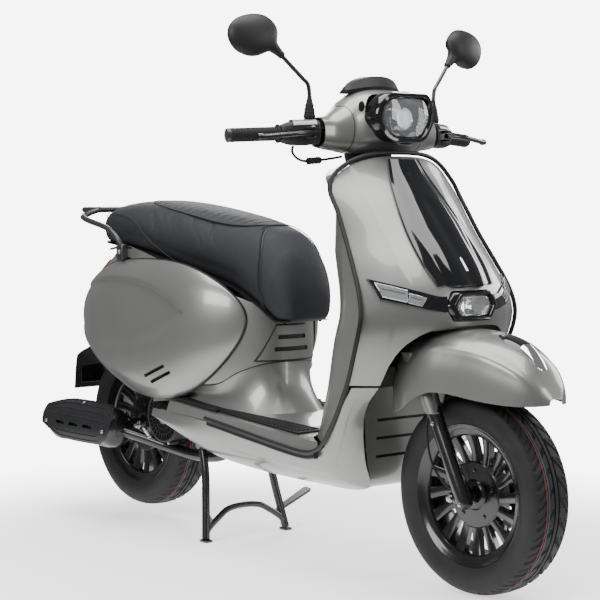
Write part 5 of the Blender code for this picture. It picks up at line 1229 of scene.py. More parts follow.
grid = []
skirt_turns = np.linspace(-2.6, 2.6, 121)
for t in unit(26):
    row = []
    for turn in skirt_turns:
        head, foot = skirt_head(turn), skirt_foot(turn)
        p = head.lerp(foot, t)
        out = vec(p.x + 0.33, p.y, 0).normalized()
        row.append(p - out * 0.020 * sin(pi * t) * max(cos(turn * 0.5), 0.0))
    grid.append(row)
skin("body_skirt", grid, PAINT, "chassis", inward=0.002, flip=True)
line = [skirt_head(turn) + vec(skirt_head(turn).x + 0.33, skirt_head(turn).y, 0).normalized() * 0.0030
        - vec(0, 0, 0.0105) for turn in np.linspace(-2.6, 2.6, 160)]
tube("body_skirt_seam", line, 0.0013, MATTE, "chassis", sides=8)


def front_of_body(y, z, proud):
    half, _ = table(BODY, z)
    t = min((1 - min(abs(y) / half, 1.0) ** (1 / 0.45)), 1.0) ** (1 / 2.6)
    return vec(-0.350 + (BODY_FRONT_X + 0.350) * t + proud, y, z)


def vent_panel(a, t):
    z = 0.592 - t * 0.090
    t = max(t, 0.0)
    width = (0.052 + 0.042 * t ** 1.2) * (1 - 0.10 * abs(1 - t) ** 6)
    return front_of_body(a * width, z, 0.0005)


def vent_back(a, t):
    return vent_panel(a * 1.05, -0.045 + t * 1.09)


# matte black sheet under the vent cover: its rim is the dark joint round the cover, and through the vent
# slots it is painted shade
skin("under_seat_gap_and_shade", grid_of(vent_back, centred(33), unit(18)), MATTE, "chassis",
     inward=0.0010, outward=0.0018, flip=True, bevel=0.0004)
vent = skin("under_seat_cover", grid_of(vent_panel, centred(25), unit(16)), PAINT, "chassis",
            inward=-0.0016, outward=0.0052, flip=True, bevel=0.0012)
cuts = []
for k, (z, wide) in enumerate(((0.530, 0.056), (0.562, 0.046))):
    ring = rounded([(-wide, z - 0.0058), (wide, z - 0.0058), (wide, z + 0.0058), (-wide, z + 0.0058)], 0.004)
    cuts.append(loft("vent_slot_%d" % k, [[vec(x, y, z) for y, z in ring] for x in (-0.060, 0.02)], None))
cut(vent, cuts)

# centre of the side cowls in (x, z)
COWL = (-0.430, 0.605)


def cowl_point(ring, turn, proud=0.0):
    c, s = cos(turn), sin(turn)
    reach = 0.355 if c > 0 else 0.440
    x = COWL[0] + reach * ring * copysign(abs(c) ** (0.92 if s >= 0 else 1.05), c)
    rise = 0.030 + (0.152 * s ** 0.95 if s >= 0 else -0.232 * abs(s) ** 1.12)
    z = COWL[1] - 0.030 + rise * ring
    half = body_half(x, max(z, 0.400)) - 0.35 * max(0.400 - z, 0.0)
    return vec(x, half + proud, z)


def cowl_swell(r, x, z):
    """How far the cowl stands out: a full shoulder with a flat leaf-shaped recess in it."""
    swell = 0.0030 + 0.0260 * (1 - r ** 5) ** 0.75
    u = x + 0.560
    reach = 0.335 if u > 0 else 0.420
    axis = 0.612 + 0.02 * u
    across = abs(z - axis) / (0.098 if z > axis else 0.124)
    leaf = max(1 - abs(u / reach) ** 1.9, 0.0)
    inside = leaf ** 0.7 - across
    width = 0.20 if z > axis else 0.42
    step = clamp(inside / width)
    return swell - 0.0125 * step * step * (3 - 2 * step)


cowl_rings = [0.02] + list(np.linspace(0.06, 0.90, 40)) + [0.92, 0.94, 0.955, 0.97, 0.98, 0.99, 0.997, 1.0]
spins = circle(160)
for label, side in SIDES:
    verts, faces = [], [tuple(range(160))]
    for depth in (1, 0):
        for r in cowl_rings:
            for a in spins:
                p = cowl_point(r, a, 0.0036)
                p.y += cowl_swell(r, p.x, p.z) * depth
                verts.append(vec(p.x, side * p.y, p.z))
    for i in range(len(cowl_rings) - 1):
        for j in range(160):
            k = (j + 1) % 160
            a, b = i * 160, (i + 1) * 160
            faces.append((a + j, a + k, b + k, b + j))
    off = 160 * len(cowl_rings)
    faces += [tuple(v + off for v in face) for face in list(faces)]
    last = 160 * (len(cowl_rings) - 1)
    faces += [(last + j, last + (j + 1) % 160, off + last + (j + 1) % 160, off + last + j)
              for j in range(160)]
    cowl = make("cowl_" + label, verts, faces, PAINT, "chassis", ["side_cowl_" + label], bevel=0.0007)

    cuts = []
    for k, (x, z) in enumerate(((-0.372, 0.456), (-0.352, 0.440))):
        u = vec(cos(0.34), 0, sin(0.34))
        v = vec(-u.z, 0, u.x)
        ring = [vec(x, 0, z) + u * p[0] + v * p[1] for p in rounded([(-0.056, -0.0045), (0.056, -0.0045),
                                                                     (0.056, 0.0045), (-0.056, 0.0045)],
                                                                    0.0042)]
        near = min(side * 0.10, side * 0.30), max(side * 0.10, side * 0.30)
        cuts.append(loft("cowl_slot_%s_%d" % (label, k), [[vec(p.x, y, p.z) for p in ring] for y in near],
                         None))
    cut(cowl, cuts)
    seam = [cowl_point(1.004, a, 0.0030) for a in spins]
    seam = [vec(p.x, side * p.y, p.z) for p in seam]
    tube("cowl_gap_" + label, seam + [seam[0]], 0.0022, MATTE, "chassis", sides=8)
    # matte black patch behind the cowl slots: painted shade seen through them
    patch = [[vec(x, side * (body_half(x, z) + 0.0042), z) for x in np.linspace(-0.425, -0.300, 9)]
             for z in np.linspace(0.482, 0.418, 5)]
    skin("cowl_slot_shade_" + label, patch, MATTE, "chassis", inward=0.0006, outward=0.0006, flip=side > 0)
    x, z = -0.600, 0.748
    pad = [[vec(x + a * 0.044, side * (body_half(x + a * 0.044, z + b * 0.011) + 0.0005), z + b * 0.011)
            for a in centred(9)] for b in (1, 0, -1)]
    skin("cowl_catch_" + label, pad, GLOSS, "chassis", inward=0.0008, outward=0.0052, flip=side > 0,
         bevel=0.0016)

# ---- tail -----------------------------------------------------------------------------------
def tail_patch(first, last, high, low, columns, rows, sign=1):
    return [[around_body(pi + sign * a, z) for a in np.linspace(first, last, columns)]
            for z in np.linspace(high, low, rows)]


skin("tail_lens", tail_patch(-0.34, 0.34, 0.735, 0.655, 33, 14), RED, "chassis", ["tail_light"],
     inward=-0.002, outward=0.014, flip=True, bevel=0.003)
skin("tail_lens_frame", tail_patch(-0.36, 0.36, 0.739, 0.651, 33, 14), GLOSS, "chassis", inward=-0.0004,
     outward=0.0062, flip=True, bevel=0.0014)
for label, side in SIDES:
    skin("rear_signal_" + label, tail_patch(0.12, 0.36, 0.618, 0.566, 17, 9, -side), AMBER, "chassis",
         inward=-0.0004, outward=0.0085, flip=side < 0, bevel=0.0022)
    skin("rear_signal_rim_" + label, tail_patch(0.105, 0.375, 0.622, 0.562, 17, 9, -side), GLOSS, "chassis",
         inward=-0.0002, outward=0.0034, flip=side < 0, bevel=0.0010)

TAIL_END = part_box("rear_mudguard")[0][0] - SHIFT
guard_line = path([(TAIL_END + 0.0015, 0, 0.352), (-0.924, 0, 0.450), (-0.880, 0, 0.530), (-0.806, 0, 0.584),
                   (-0.690, 0, 0.6085), (-0.560, 0, 0.590), (-0.490, 0, 0.560)], 60)
grid = []
for p in guard_line:
    half = 0.098 if p.z < 0.470 else (0.050 if p.x < -0.860 else 0.074)
    near = min(abs(p.z - 0.470) / 0.012, 1) if p.x < -0.86 else 1
    half = half if p.x > -0.86 or p.z > 0.482 or p.z < 0.458 else 0.074 + (half - 0.074) * near
    grid.append([vec(p.x - 0.0014 * (1 if p.x < -0.86 else 0) * (1 - a * a), a * half, p.z)
                 for a in centred(21)])
skin("mud_flap", grid, MATTE, "chassis", ["rear_mudguard"], inward=0.0015, outward=0.0015, bevel=0.0008)
plate_x = TAIL_END + 0.004
block("plate_pocket", (plate_x - 0.0050, -0.080, 0.368), (plate_x + 0.006, 0.080, 0.444), GLOSS, "chassis",
      bevel=0.002)
turned("rear_reflector", ((0.0, 0.0005), (0.0, 0.0160), (0.005, 0.0160), (0.007, 0.0135), (0.0074, 0.0005)),
       (-0.9245, 0, 0.478), (-0.94, 0, 0.10), RED, "chassis", steps=36)


# ---- seat ------------------------------------------------------------------------------------
# x, z of the hem, z of the top, half width
SEAT = ((0.056, 0.622, 0.672, 0.050), (0.052, 0.612, 0.700, 0.066), (0.044, 0.606, 0.730, 0.078),
        (0.028, 0.603, 0.768, 0.090), (0.006, 0.604, 0.800, 0.100), (-0.045, 0.640, 0.842, 0.112),
        (-0.150, 0.690, 0.868, 0.126), (-0.300, 0.727, 0.892, 0.142), (-0.450, 0.760, 0.910, 0.150),
        (-0.570, 0.780, 0.917, 0.150), (-0.680, 0.789, 0.912, 0.140), (-0.740, 0.794, 0.900, 0.122),
        (-0.776, 0.806, 0.876, 0.090))


def seat_level(x, s, shrink=0.0):
    """Half width and height of the cushion at a place on its section; s runs -1 at the hem to 1 on top."""
    low, high, half = table(SEAT, x)
    low, high, half = low + shrink * 0.3, high - shrink, half - shrink
    middle, up = (low + high) / 2, (high - low) / 2
    c = sqrt(max(1 - s * s, 0.0))
    if s < 0:
        return half * c ** 0.22 * (1 - 0.05 * s * s), middle - up * abs(s) ** 0.60
    return half * (1.0 - 0.16 * s) * c ** 0.72, middle + up * s ** 0.74


def seat_ring(x, shrink=0.0, count=56):
    ring = []
    for t in circle(count):
        half, z = seat_level(x, sin(t), shrink)
        ring.append(vec(x, copysign(half, cos(t)), z))
    return ring


seat_x = np.r_[0.0535, 0.0500, 0.0440, 0.0360, 0.0250, np.linspace(0.012, -0.730, 44), -0.745, -0.757,
               -0.766, -0.771]
cushion = loft("seat_pad", [seat_ring(x, 0.0050) for x in seat_x], VINYL, "seat", ["seat_cushion"])
# the cushion's cover is blown out for this many frames, and by this much at most
STUFFING_FRAMES = 14
STUFFING_SWELL = 0.0060


def baked_mesh(obj):
    return bpy.data.meshes.new_from_object(obj.evaluated_get(bpy.context.evaluated_depsgraph_get()))


def points_of(mesh):
    flat = np.zeros(len(mesh.vertices) * 3)
    mesh.vertices.foreach_get("co", flat)
    return flat.reshape(-1, 3)


def stuff(cushion):
    """Blows the cushion's cover out a little under pressure; the hem stays where it is."""
    remesh = cushion.modifiers.new("voxels", "REMESH")
    remesh.mode = "VOXEL"
    remesh.voxel_size = 0.0060
    remesh.adaptivity = 0.0
    mesh = baked_mesh(cushion)
    cushion.modifiers.clear()
    cushion.data = mesh
    before = points_of(mesh)
    cloth = cushion.modifiers.new("stuffing", "CLOTH")
    cloth.settings.use_pressure = True
    cloth.settings.uniform_pressure_force = 3.0
    cloth.settings.effector_weights.gravity = 0.0
    cloth.settings.quality = 6
    cloth.settings.tension_stiffness = 30
    cloth.settings.compression_stiffness = 30
    cloth.settings.shear_stiffness = 20
    cloth.point_cache.frame_start = 1
    cloth.point_cache.frame_end = 20
    for step in range(1, STUFFING_FRAMES + 1):
        bpy.context.scene.frame_set(step)
    blown = baked_mesh(cushion)
    cushion.modifiers.clear()
    bpy.context.scene.frame_set(1)
    move = points_of(blown) - before
    length = np.linalg.norm(move, axis=1, keepdims=True)
    move *= np.minimum(1.0, STUFFING_SWELL / np.maximum(length, 1e-9))
    hem_z = np.array([table(SEAT, x - SHIFT)[0] for x in before[:, 0]])
    move *= np.clip((before[:, 2] - hem_z - 0.004) / 0.030, 0.0, 1.0)[:, None]
    blown.vertices.foreach_set("co", (before + move).reshape(-1))
    blown.update()
    cushion.data = blown
    blown.shade_smooth()


stuff(cushion)
smooth = cushion.modifiers.new("skin", "SUBSURF")
smooth.levels = smooth.render_levels = 1


def seat_top(x, y, lift=0.0):
    """Point on the cushion's upper surface."""
    low, high = 0.0, 1.0
    for _ in range(24):
        s = (low + high) / 2
        if seat_level(x, s)[0] > abs(y):
            low = s
        else:
            high = s
    return vec(x, y, seat_level(x, low)[1] + lift)


# seat insert: centre x, half length, half width
INSERT = (-0.345, 0.262, 0.098)


def insert_half(x):
    u = abs(x - INSERT[0]) / INSERT[1]
    return INSERT[2] * max(1 - u ** 3.0, 0.0) ** (1 / 2.2)


grid = []
for u in np.sin(np.linspace(pi / 2, -pi / 2, 190)):
    x = INSERT[0] + INSERT[1] * 0.999 * u
    k = (x + 1.0) / 0.0285
    near = min(1 - abs(u), 0.12) / 0.12
    groove = -0.0034 * exp(-(((k - round(k)) * 0.0285 / 0.0022) ** 2)) * near
    puff = 0.0016 * abs(sin(k * pi)) ** 0.6 * near
    row = []
    for a in centred(41):
        rim = 1 - abs(a) ** 12
        row.append(seat_top(x, a * insert_half(x), (groove + puff) * rim - 0.0006))
    grid.append(row)
skin("seat_ribbed_insert", grid, VINYL_RIB, "seat", inward=0.006, outward=0.0002)
outline = []
for a in np.linspace(0, 2 * pi, 161):
    x = INSERT[0] + INSERT[1] * cos(a) * 0.999
    outline.append(seat_top(x, copysign(insert_half(x), sin(a)), 0.0002))
tube("seat_insert_piping", outline, 0.0010, VINYL, "seat", sides=10)


def seat_side(x, s, side, proud=0.0):
    half, z = seat_level(x, s)
    return vec(x, side * (half + proud), z)


for label, side in SIDES:
    line = []
    for t in unit(80):
        line.append(seat_side(-0.764 + 0.404 * t, 0.40 - 1.34 * t ** 2.6, side, 0.0004))
    tube("seat_side_seam_" + label, line, 0.0013, VINYL, "seat", sides=10)
    rise = [seat_side(-0.034 - 0.050 * max(f, 0) ** 2, f, side, 0.0004) for f in np.linspace(-0.93, 0.90, 50)]
    tube("seat_nose_seam_" + label, rise, 0.0013, VINYL, "seat", sides=10)
    hem = [seat_side(x, -0.985, side, -0.0010) for x in np.linspace(0.020, -0.764, 110)]
    tube("seat_hem_" + label, hem, 0.0026, RUBBER, "seat", sides=12)
    stitch = [seat_side(-0.026 - 0.050 * max(f, 0) ** 2, f, side, 0.0006)
              for f in np.linspace(-0.93, 0.88, 50)]
    tube("seat_nose_stitch_" + label, stitch, 0.0006, GREY, "seat", sides=6)
cross = [seat_top(-0.082, y, 0.0008) for y in np.linspace(-0.060, 0.060, 30)]
tube("seat_nose_cross_seam", cross, 0.0013, VINYL, "seat", sides=10)
skin("seat_pan", [[vec(x, a * (table(SEAT, x)[2] - 0.012), table(SEAT, x)[0] + 0.004) for a in centred(9)]
                  for x in np.linspace(0.036, -0.750, 60)], MATTE, "seat", inward=0.002, outward=0.0005)

# ---- storage and rack ------------------------------------------------------------------------
outer = [(-0.430, -0.085), (-0.110, -0.085), (-0.110, 0.085), (-0.430, 0.085)]
rings = []
for z, grow in ((0.505, -0.006), (0.507, 0.0), (0.672, 0.0), (0.672, -0.0030), (0.511, -0.0030),
                (0.508, -0.010)):
    ring = rounded([(x + copysign(grow, x + 0.27), y + copysign(grow, y)) for x, y in outer], 0.022)
    rings.append([vec(x, y, z) for x, y in ring])
loft("helmet_tray", rings, MATTE, "chassis", ["storage_bucket"], bevel=0.0006)

LOOP_Z = 0.889
corner = 0.100
loop = [(-0.795, -corner, LOOP_Z), (-0.855, -corner, LOOP_Z), (-0.879, -corner + 0.004, LOOP_Z),
        (-0.8945, -corner + 0.020, LOOP_Z), (-0.898, -corner + 0.040, LOOP_Z)]
loop += [(x, -y, z) for x, y, z in reversed(loop)]
tube("rack_loop", path(loop, 90), 0.0085, GREY, "chassis", ["rear_rack"], sides=28)
tube("rack_bar_front", ((-0.800, -corner, LOOP_Z), (-0.800, corner, LOOP_Z)), 0.0075, GREY, "chassis",
     sides=24)
for k, y in enumerate((-0.065, -0.0217, 0.0217, 0.065)):
    ring = rounded([(y - 0.0075, LOOP_Z - 0.0038), (y + 0.0075, LOOP_Z - 0.0038),
                    (y + 0.0075, LOOP_Z + 0.0050), (y - 0.0075, LOOP_Z + 0.0050)], 0.003)
    loft("rack_slat_%d" % k, [[vec(x, p.x, p.y) for p in ring]
                              for x in (-0.8965, -0.8935, -0.8010, -0.7975)], MATTE, "chassis",
         bevel=0.0008)
    bolt("rack_slat_screw_%d" % k, (-0.881, y, LOOP_Z + 0.0050), Z_AXIS, STEEL, "chassis", 0.0028, 0.0016)
for label, side in SIDES:
    arm = path([(-0.800, side * corner, LOOP_Z), (-0.802, side * 0.128, 0.880),
                (-0.790, side * 0.158, 0.868), (-0.640, side * 0.172, 0.838), (-0.600, side * 0.170, 0.815),
                (-0.585, side * 0.163, 0.790)], 90)
    tube("rack_arm_" + label, arm, 0.0082, GREY, "chassis", sides=24)
    block("rack_foot_" + label, (-0.602, min(side * 0.151, side * 0.172), 0.752),
          (-0.570, max(side * 0.151, side * 0.172), 0.796), GREY, "chassis", bevel=0.004)
    bolt("rack_bolt_" + label, (-0.586, side * 0.172, 0.774), (0, side, 0), STEEL, "chassis", 0.0062, 0.0050)

# ---- engine ----------------------------------------------------------------------------------
case = []
for y, scale in ((0.068, 0.94), (0.071, 0.96), (0.112, 0.96), (0.117, 0.955), (0.1205, 0.93),
                 (0.1235, 0.885), (0.1242, 0.80)):
    ring = []
    for a in np.linspace(pi / 2, 3 * pi / 2, 32):
        ring.append(vec(REAR.x + 0.065 * scale * cos(a), y, REAR.z + 0.065 * scale * sin(a)))
    for a in np.linspace(-pi / 2, pi / 2, 32):
        ring.append(vec(-0.392 + 0.073 * scale * cos(a), y, 0.310 + 0.073 * scale * sin(a)))
    case.append(ring)
loft("belt_case", case, CAST, "power_unit", ["engine_unit"], bevel=0.0010)
outline = [(REAR.x + 0.056 * cos(a), REAR.z + 0.056 * sin(a)) for a in np.linspace(pi / 2, 3 * pi / 2, 9)]
outline += [(-0.392 + 0.064 * cos(a), 0.310 + 0.064 * sin(a)) for a in np.linspace(-pi / 2, pi / 2, 9)]
for k, (x, z) in enumerate(outline[::2]):
    bolt("case_bolt_%d" % k, (x, 0.1238, z), Y_AXIS, STEEL, "power_unit", 0.0042, 0.0036)
for k, z in enumerate(np.linspace(0.276, 0.344, 6)):
    block("case_rib_%d" % k, (-0.560 + 0.01 * k, 0.1236, z - 0.0018), (-0.430, 0.1262, z + 0.0018), CAST,
          "power_unit", bevel=0.0010)

FAN = vec(-0.430, -0.1355, 0.320)
turned("fan_cover", ((0.068, 0.0300), (0.068, 0.0675), (0.020, 0.0700), (0.006, 0.0728), (0.0010, 0.0722),
                     (-0.0005, 0.0690), (0.0012, 0.0665), (0.0075, 0.0655), (0.0090, 0.0300)), FAN, Y_AXIS,
       MATTE, "power_unit", steps=96)
for k in range(30):
    a = 2 * pi * k / 30
    r0, r1, wide = 0.0215, 0.0662, 0.0010
    u, v = vec(cos(a), 0, sin(a)), vec(-sin(a), 0, cos(a))
    foot = [FAN + u * r0 - v * wide, FAN + u * r1 - v * wide * 1.6, FAN + u * r1 + v * wide * 1.6,
            FAN + u * r0 + v * wide]
    loft("fan_spoke_%02d" % k, [[p + vec(0, d, 0) for p in foot] for d in (0.0012, 0.0085)], MATTE,
         "power_unit", bevel=0.0003)
for k, r in enumerate((0.036, 0.051)):
    turned("fan_ring_%d" % k, ((0.0010, r - 0.0010), (0.0010, r + 0.0010), (0.0080, r + 0.0010),
                               (0.0080, r - 0.0010), (0.0010, r - 0.0010)), FAN, Y_AXIS, MATTE,
           "power_unit", steps=72)
turned("fan_hub", ((-0.0008, 0.0005), (-0.0008, 0.0180), (0.0012, 0.0215), (0.0088, 0.0220),
                   (0.0088, 0.0005)), FAN, Y_AXIS, CAST, "power_unit", steps=60)
for k in range(3):
    a = radians(40 + 120 * k)
    bolt("fan_bolt_%d" % k, FAN + vec(0.0745 * cos(a), 0.012, 0.0745 * sin(a)), (0, -1, 0), STEEL,
         "power_unit", 0.0040, 0.0036)
    turned("fan_lug_%d" % k, ((0.0, 0.0005), (0.0, 0.0075), (0.030, 0.0082), (0.030, 0.0005)),
           FAN + vec(0.0735 * cos(a), 0.0125, 0.0735 * sin(a)), Y_AXIS, MATTE, "power_unit", steps=28)
block("crank_halves", (-0.422, -0.0805, 0.266), (-0.306, 0.070, 0.367), CAST, "power_unit", bevel=0.008)
block("crank_flange", (-0.420, -0.0035, 0.2635), (-0.308, 0.0035, 0.3700), CAST, "power_unit", bevel=0.0015)
turned("cylinder_barrel", ((0.0, 0.0005), (0.0, 0.0415), (0.100, 0.0415), (0.155, 0.0425), (0.155, 0.0005)),
       (-0.320, 0, 0.328), X_AXIS, CAST, "power_unit", steps=64)
for k in range(9):
    turned("fin_%d" % k, ((0.0, 0.0400), (0.0004, 0.0428), (0.0026, 0.0428), (0.0030, 0.0400)),
           (-0.296 + 0.0088 * k, 0, 0.328), X_AXIS, CAST, "power_unit", steps=64)
turned("rocker_cover", ((0.0, 0.0300), (0.0, 0.0335), (0.008, 0.0340), (0.0130, 0.0300), (0.0145, 0.0200),
                        (0.0140, 0.0005), (0.0, 0.0005)), (-0.1655, 0, 0.328), X_AXIS, MATTE, "power_unit",
       steps=64)
turned("axle_nut", ((-0.048, 0.0005), (-0.048, 0.0088), (0.0, 0.0088), (0.0, 0.0005)), (REAR.x, 0, REAR.z),
       Y_AXIS, STEEL, "power_unit", steps=36)
bolt("axle_castle", (REAR.x, -0.048, REAR.z), (0, -1, 0), STEEL, "power_unit", 0.0120, 0.0090)
turned("rear_stub", ((-0.030, 0.0088), (-0.030, 0.0005), (0.078, 0.0005), (0.078, 0.0088)),
       (REAR.x, 0, REAR.z), Y_AXIS, STEEL, "power_unit", steps=36)
tube("engine_arm", path([(-0.2525, 0, 0.4085), (-0.300, 0, 0.380), (-0.345, 0, 0.350)], 16), 0.0158, CAST,
     "power_unit", sides=24)
turned("engine_boss", ((-0.030, 0.0106), (-0.030, 0.0200), (-0.028, 0.0210), (0.028, 0.0210),
                       (0.030, 0.0200), (0.030, 0.0106), (-0.030, 0.0106)), (-0.250, 0, 0.412), Y_AXIS,
       CAST, "power_unit", steps=48)
block("shock_lug", (-0.7015, 0.1198, 0.2960), (-0.6785, 0.1305, 0.3545), CAST, "power_unit", bevel=0.003)
turned("shock_low_bolt", ((0.0, 0.0005), (0.0, 0.0050), (0.030, 0.0050), (0.030, 0.0005)),
       (-0.690, 0.095, 0.345), Y_AXIS, STEEL, "power_unit", steps=24)
bolt("shock_low_nut", (-0.690, 0.0970, 0.345), (0, -1, 0), STEEL, "power_unit", 0.0075, 0.0050)

# ---- exhaust ---------------------------------------------------------------------------------
route = path([(-0.222, -0.030, 0.272), (-0.262, -0.050, 0.224), (-0.360, -0.064, 0.212),
              (-0.470, -0.086, 0.226), (-0.550, -0.128, 0.250), (-0.600, -0.158, 0.264)], 70)
tube("exhaust_pipe", route, 0.0150, BLACK, "power_unit", ["exhaust"], sides=28)
MUFF = vec(0, -0.165, 0.270)
turned("silencer", ((-0.583, 0.0005), (-0.583, 0.0175), (-0.588, 0.0330), (-0.596, 0.0450),
                    (-0.610, 0.0535), (-0.626, 0.0560), (-0.640, 0.0568), (-0.868, 0.0578),
                    (-0.872, 0.0590), (-0.882, 0.0590), (-0.886, 0.0575), (-0.897, 0.0535),
                    (-0.9075, 0.0440), (-0.9125, 0.0300), (-0.9130, 0.0200), (-0.9130, 0.0005)), MUFF,
       X_AXIS, BLACK, "power_unit", steps=96)
turned("silencer_seam", ((-0.640, 0.0566), (-0.642, 0.0580), (-0.650, 0.0580), (-0.652, 0.0566)), MUFF,
       X_AXIS, BLACK, "power_unit", steps=96)
turned("silencer_outlet", ((-0.905, 0.0080), (-0.905, 0.0115), (-0.9255, 0.0115), (-0.9255, 0.0080),
                           (-0.905, 0.0080)), MUFF + vec(0, 0.010, -0.022), X_AXIS, STEEL, "power_unit",
       steps=40)


def guard_point(a, t, proud=0.0):
    spread = min(1.0, 0.30 + 1.15 * min(t / 0.34, 1.0) ** 0.75) * min(1.0, 0.42 + 2.3 * (1 - t))
    angle = radians(22 + (a - 0.5) * 128 * min(spread, 1.0))
    x = -0.560 - 0.352 * t
    r = 0.0605 + 0.006 * sin(pi * t) + proud
    return vec(x, MUFF.y - r * cos(angle), MUFF.z + r * sin(angle))


def guard_normal(at):
    return (at - vec(at.x, MUFF.y, MUFF.z)).normalized()


guard = skin("silencer_guard", grid_of(guard_point, unit(33), unit(40)), MATTE, "power_unit", ["heat_shield"],
             inward=-0.0004, outward=0.0034, bevel=0.0010)
cuts = []
for k, (a, t) in enumerate(((0.36, 0.30), (0.36, 0.50), (0.36, 0.70))):
    centre = guard_point(a, t)
    normal = guard_normal(centre)
    v = vec(1, 0, 0).cross(normal)
    ring = rounded([(-0.024, -0.0045), (0.024, -0.0045), (0.024, 0.0045), (-0.024, 0.0045)], 0.0042)
    cuts.append(loft("guard_slot_%d" % k, [[centre + normal * d + vec(1, 0, 0) * p.x + v * p.y for p in ring]
                                           for d in (-0.002, 0.02)], None))
cut(guard, cuts)
for k, a in enumerate((0.08, 0.19, 0.53, 0.66, 0.79, 0.92)):
    line = [guard_point(a, t, 0.0034) for t in np.linspace(0.05, 0.95, 40)]
    tube("guard_rib_%d" % k, line, 0.0021, MATTE, "power_unit", sides=12)
for k, (a, t) in enumerate(((0.24, 0.08), (0.24, 0.92), (0.84, 0.50))):
    centre = guard_point(a, t, 0.0030)
    normal = guard_normal(centre)
    turned("guard_seat_%d" % k, ((0.0, 0.0005), (0.0, 0.0090), (0.0018, 0.0085), (0.0020, 0.0005)), centre,
           normal, MATTE, "power_unit", steps=32)
    bolt("guard_bolt_%d" % k, centre + normal * 0.0016, normal, STEEL, "power_unit", 0.0052, 0.0042)
turned("probe_body", ((0.0, 0.0005), (0.0, 0.0085), (0.012, 0.0085), (0.012, 0.0060), (0.034, 0.0060),
                      (0.036, 0.0042), (0.044, 0.0040), (0.044, 0.0005)), (-0.520, -0.112, 0.2480),
       (0.1, -0.65, 0.75), STEEL, "power_unit", steps=36)
block("silencer_hanger", (-0.700, -0.113, 0.262), (-0.660, -0.100, 0.290), BLACK, "power_unit", bevel=0.002)
block("silencer_arm", (-0.690, -0.106, 0.268), (-0.668, -0.036, 0.284), BLACK, "power_unit", bevel=0.002)

# ---- suspension at the rear, kick lever, stand -------------------------------------------------
SHOCK = vec(-0.690, 0.108, 0.0)
TOP_Z, LOW_Z = 0.600, 0.345
turned("damper_tube", ((TOP_Z - 0.008, 0.0005), (TOP_Z - 0.008, 0.0118), (TOP_Z - 0.136, 0.0118),
                       (TOP_Z - 0.140, 0.0105), (TOP_Z - 0.140, 0.0066)), SHOCK, Z_AXIS, BLACK,
       "shock_upper", ["shock_body"], steps=48)
turned("perch_high", ((TOP_Z - 0.017, 0.0105), (TOP_Z - 0.017, 0.0200), (TOP_Z - 0.0185, 0.0225),
                      (TOP_Z - 0.0220, 0.0225), (TOP_Z - 0.0220, 0.0105)), SHOCK, Z_AXIS, BLACK,
       "shock_upper", steps=48)
turned("eye_high", ((-0.010, 0.0056), (-0.010, 0.0125), (-0.009, 0.0132), (0.009, 0.0132), (0.010, 0.0125),
                    (0.010, 0.0056), (-0.010, 0.0056)), SHOCK + vec(0, 0, TOP_Z), Y_AXIS, BLACK,
       "shock_upper", steps=40)
turned("damper_rod", ((LOW_Z + 0.008, 0.0005), (LOW_Z + 0.008, 0.0058), (LOW_Z + 0.140, 0.0058),
                      (LOW_Z + 0.140, 0.0005)), SHOCK, Z_AXIS, CHROME, "shock_lower", ["shock_rod"],
       steps=40)
turned("perch_low", ((LOW_Z + 0.0250, 0.0050), (LOW_Z + 0.0250, 0.0225), (LOW_Z + 0.0290, 0.0225),
                     (LOW_Z + 0.0305, 0.0200), (LOW_Z + 0.0305, 0.0050)), SHOCK, Z_AXIS, BLACK,
       "shock_lower", steps=48)
turned("eye_low", ((-0.010, 0.0056), (-0.010, 0.0115), (-0.009, 0.0122), (0.009, 0.0122), (0.010, 0.0115),
                   (0.010, 0.0056), (-0.010, 0.0056)), SHOCK + vec(0, 0, LOW_Z), Y_AXIS, BLACK,
       "shock_lower", steps=40)
turned("eye_neck", ((LOW_Z + 0.008, 0.0065), (LOW_Z + 0.012, 0.0085), (LOW_Z + 0.025, 0.0085)), SHOCK,
       Z_AXIS, BLACK, "shock_lower", steps=32)
coil = []
for i in range(361):
    a = 2 * pi * 6.5 * i / 360
    z = TOP_Z - 0.0275 + (LOW_Z + 0.0355 - TOP_Z + 0.0275) * i / 360
    coil.append((SHOCK.x + 0.0172 * cos(a), SHOCK.y + 0.0172 * sin(a), z))
spring = tube("shock_coil", coil, 0.0042, STEEL, None, ["shock_spring"], sides=14)
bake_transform(spring)

turned("kick_boss", ((0.1262, 0.0005), (0.1262, 0.0112), (0.1275, 0.0122), (0.1400, 0.0122),
                     (0.1425, 0.0105), (0.1425, 0.0005)), (-0.470, 0, 0.300), Y_AXIS, CAST, "kick",
       ["kick_lever"], steps=40)
bolt("kick_bolt", (-0.470, 0.1425, 0.300), Y_AXIS, STEEL, "kick", 0.0055, 0.0040)
tube("kick_arm", path([(-0.474, 0.1345, 0.3006), (-0.560, 0.1385, 0.312), (-0.610, 0.144, 0.319),
                       (-0.640, 0.150, 0.322)], 40), [0.0066 - 0.0012 * i / 39 for i in range(40)], STEEL,
     "kick", sides=24)
turned("kick_peg", ((0.144, 0.0005), (0.144, 0.0085), (0.146, 0.0092), (0.186, 0.0092), (0.1885, 0.0080),
                    (0.1885, 0.0005)), (-0.640, 0, 0.322), Y_AXIS, RUBBER, "kick", steps=40)
for k in range(6):
    y = 0.150 + 0.006 * k
    turned("kick_peg_ring_%d" % k, ((y, 0.0088), (y, 0.0100), (y + 0.0022, 0.0100), (y + 0.0022, 0.0088)),
           (-0.640, 0, 0.322), Y_AXIS, RUBBER, "kick", steps=36)

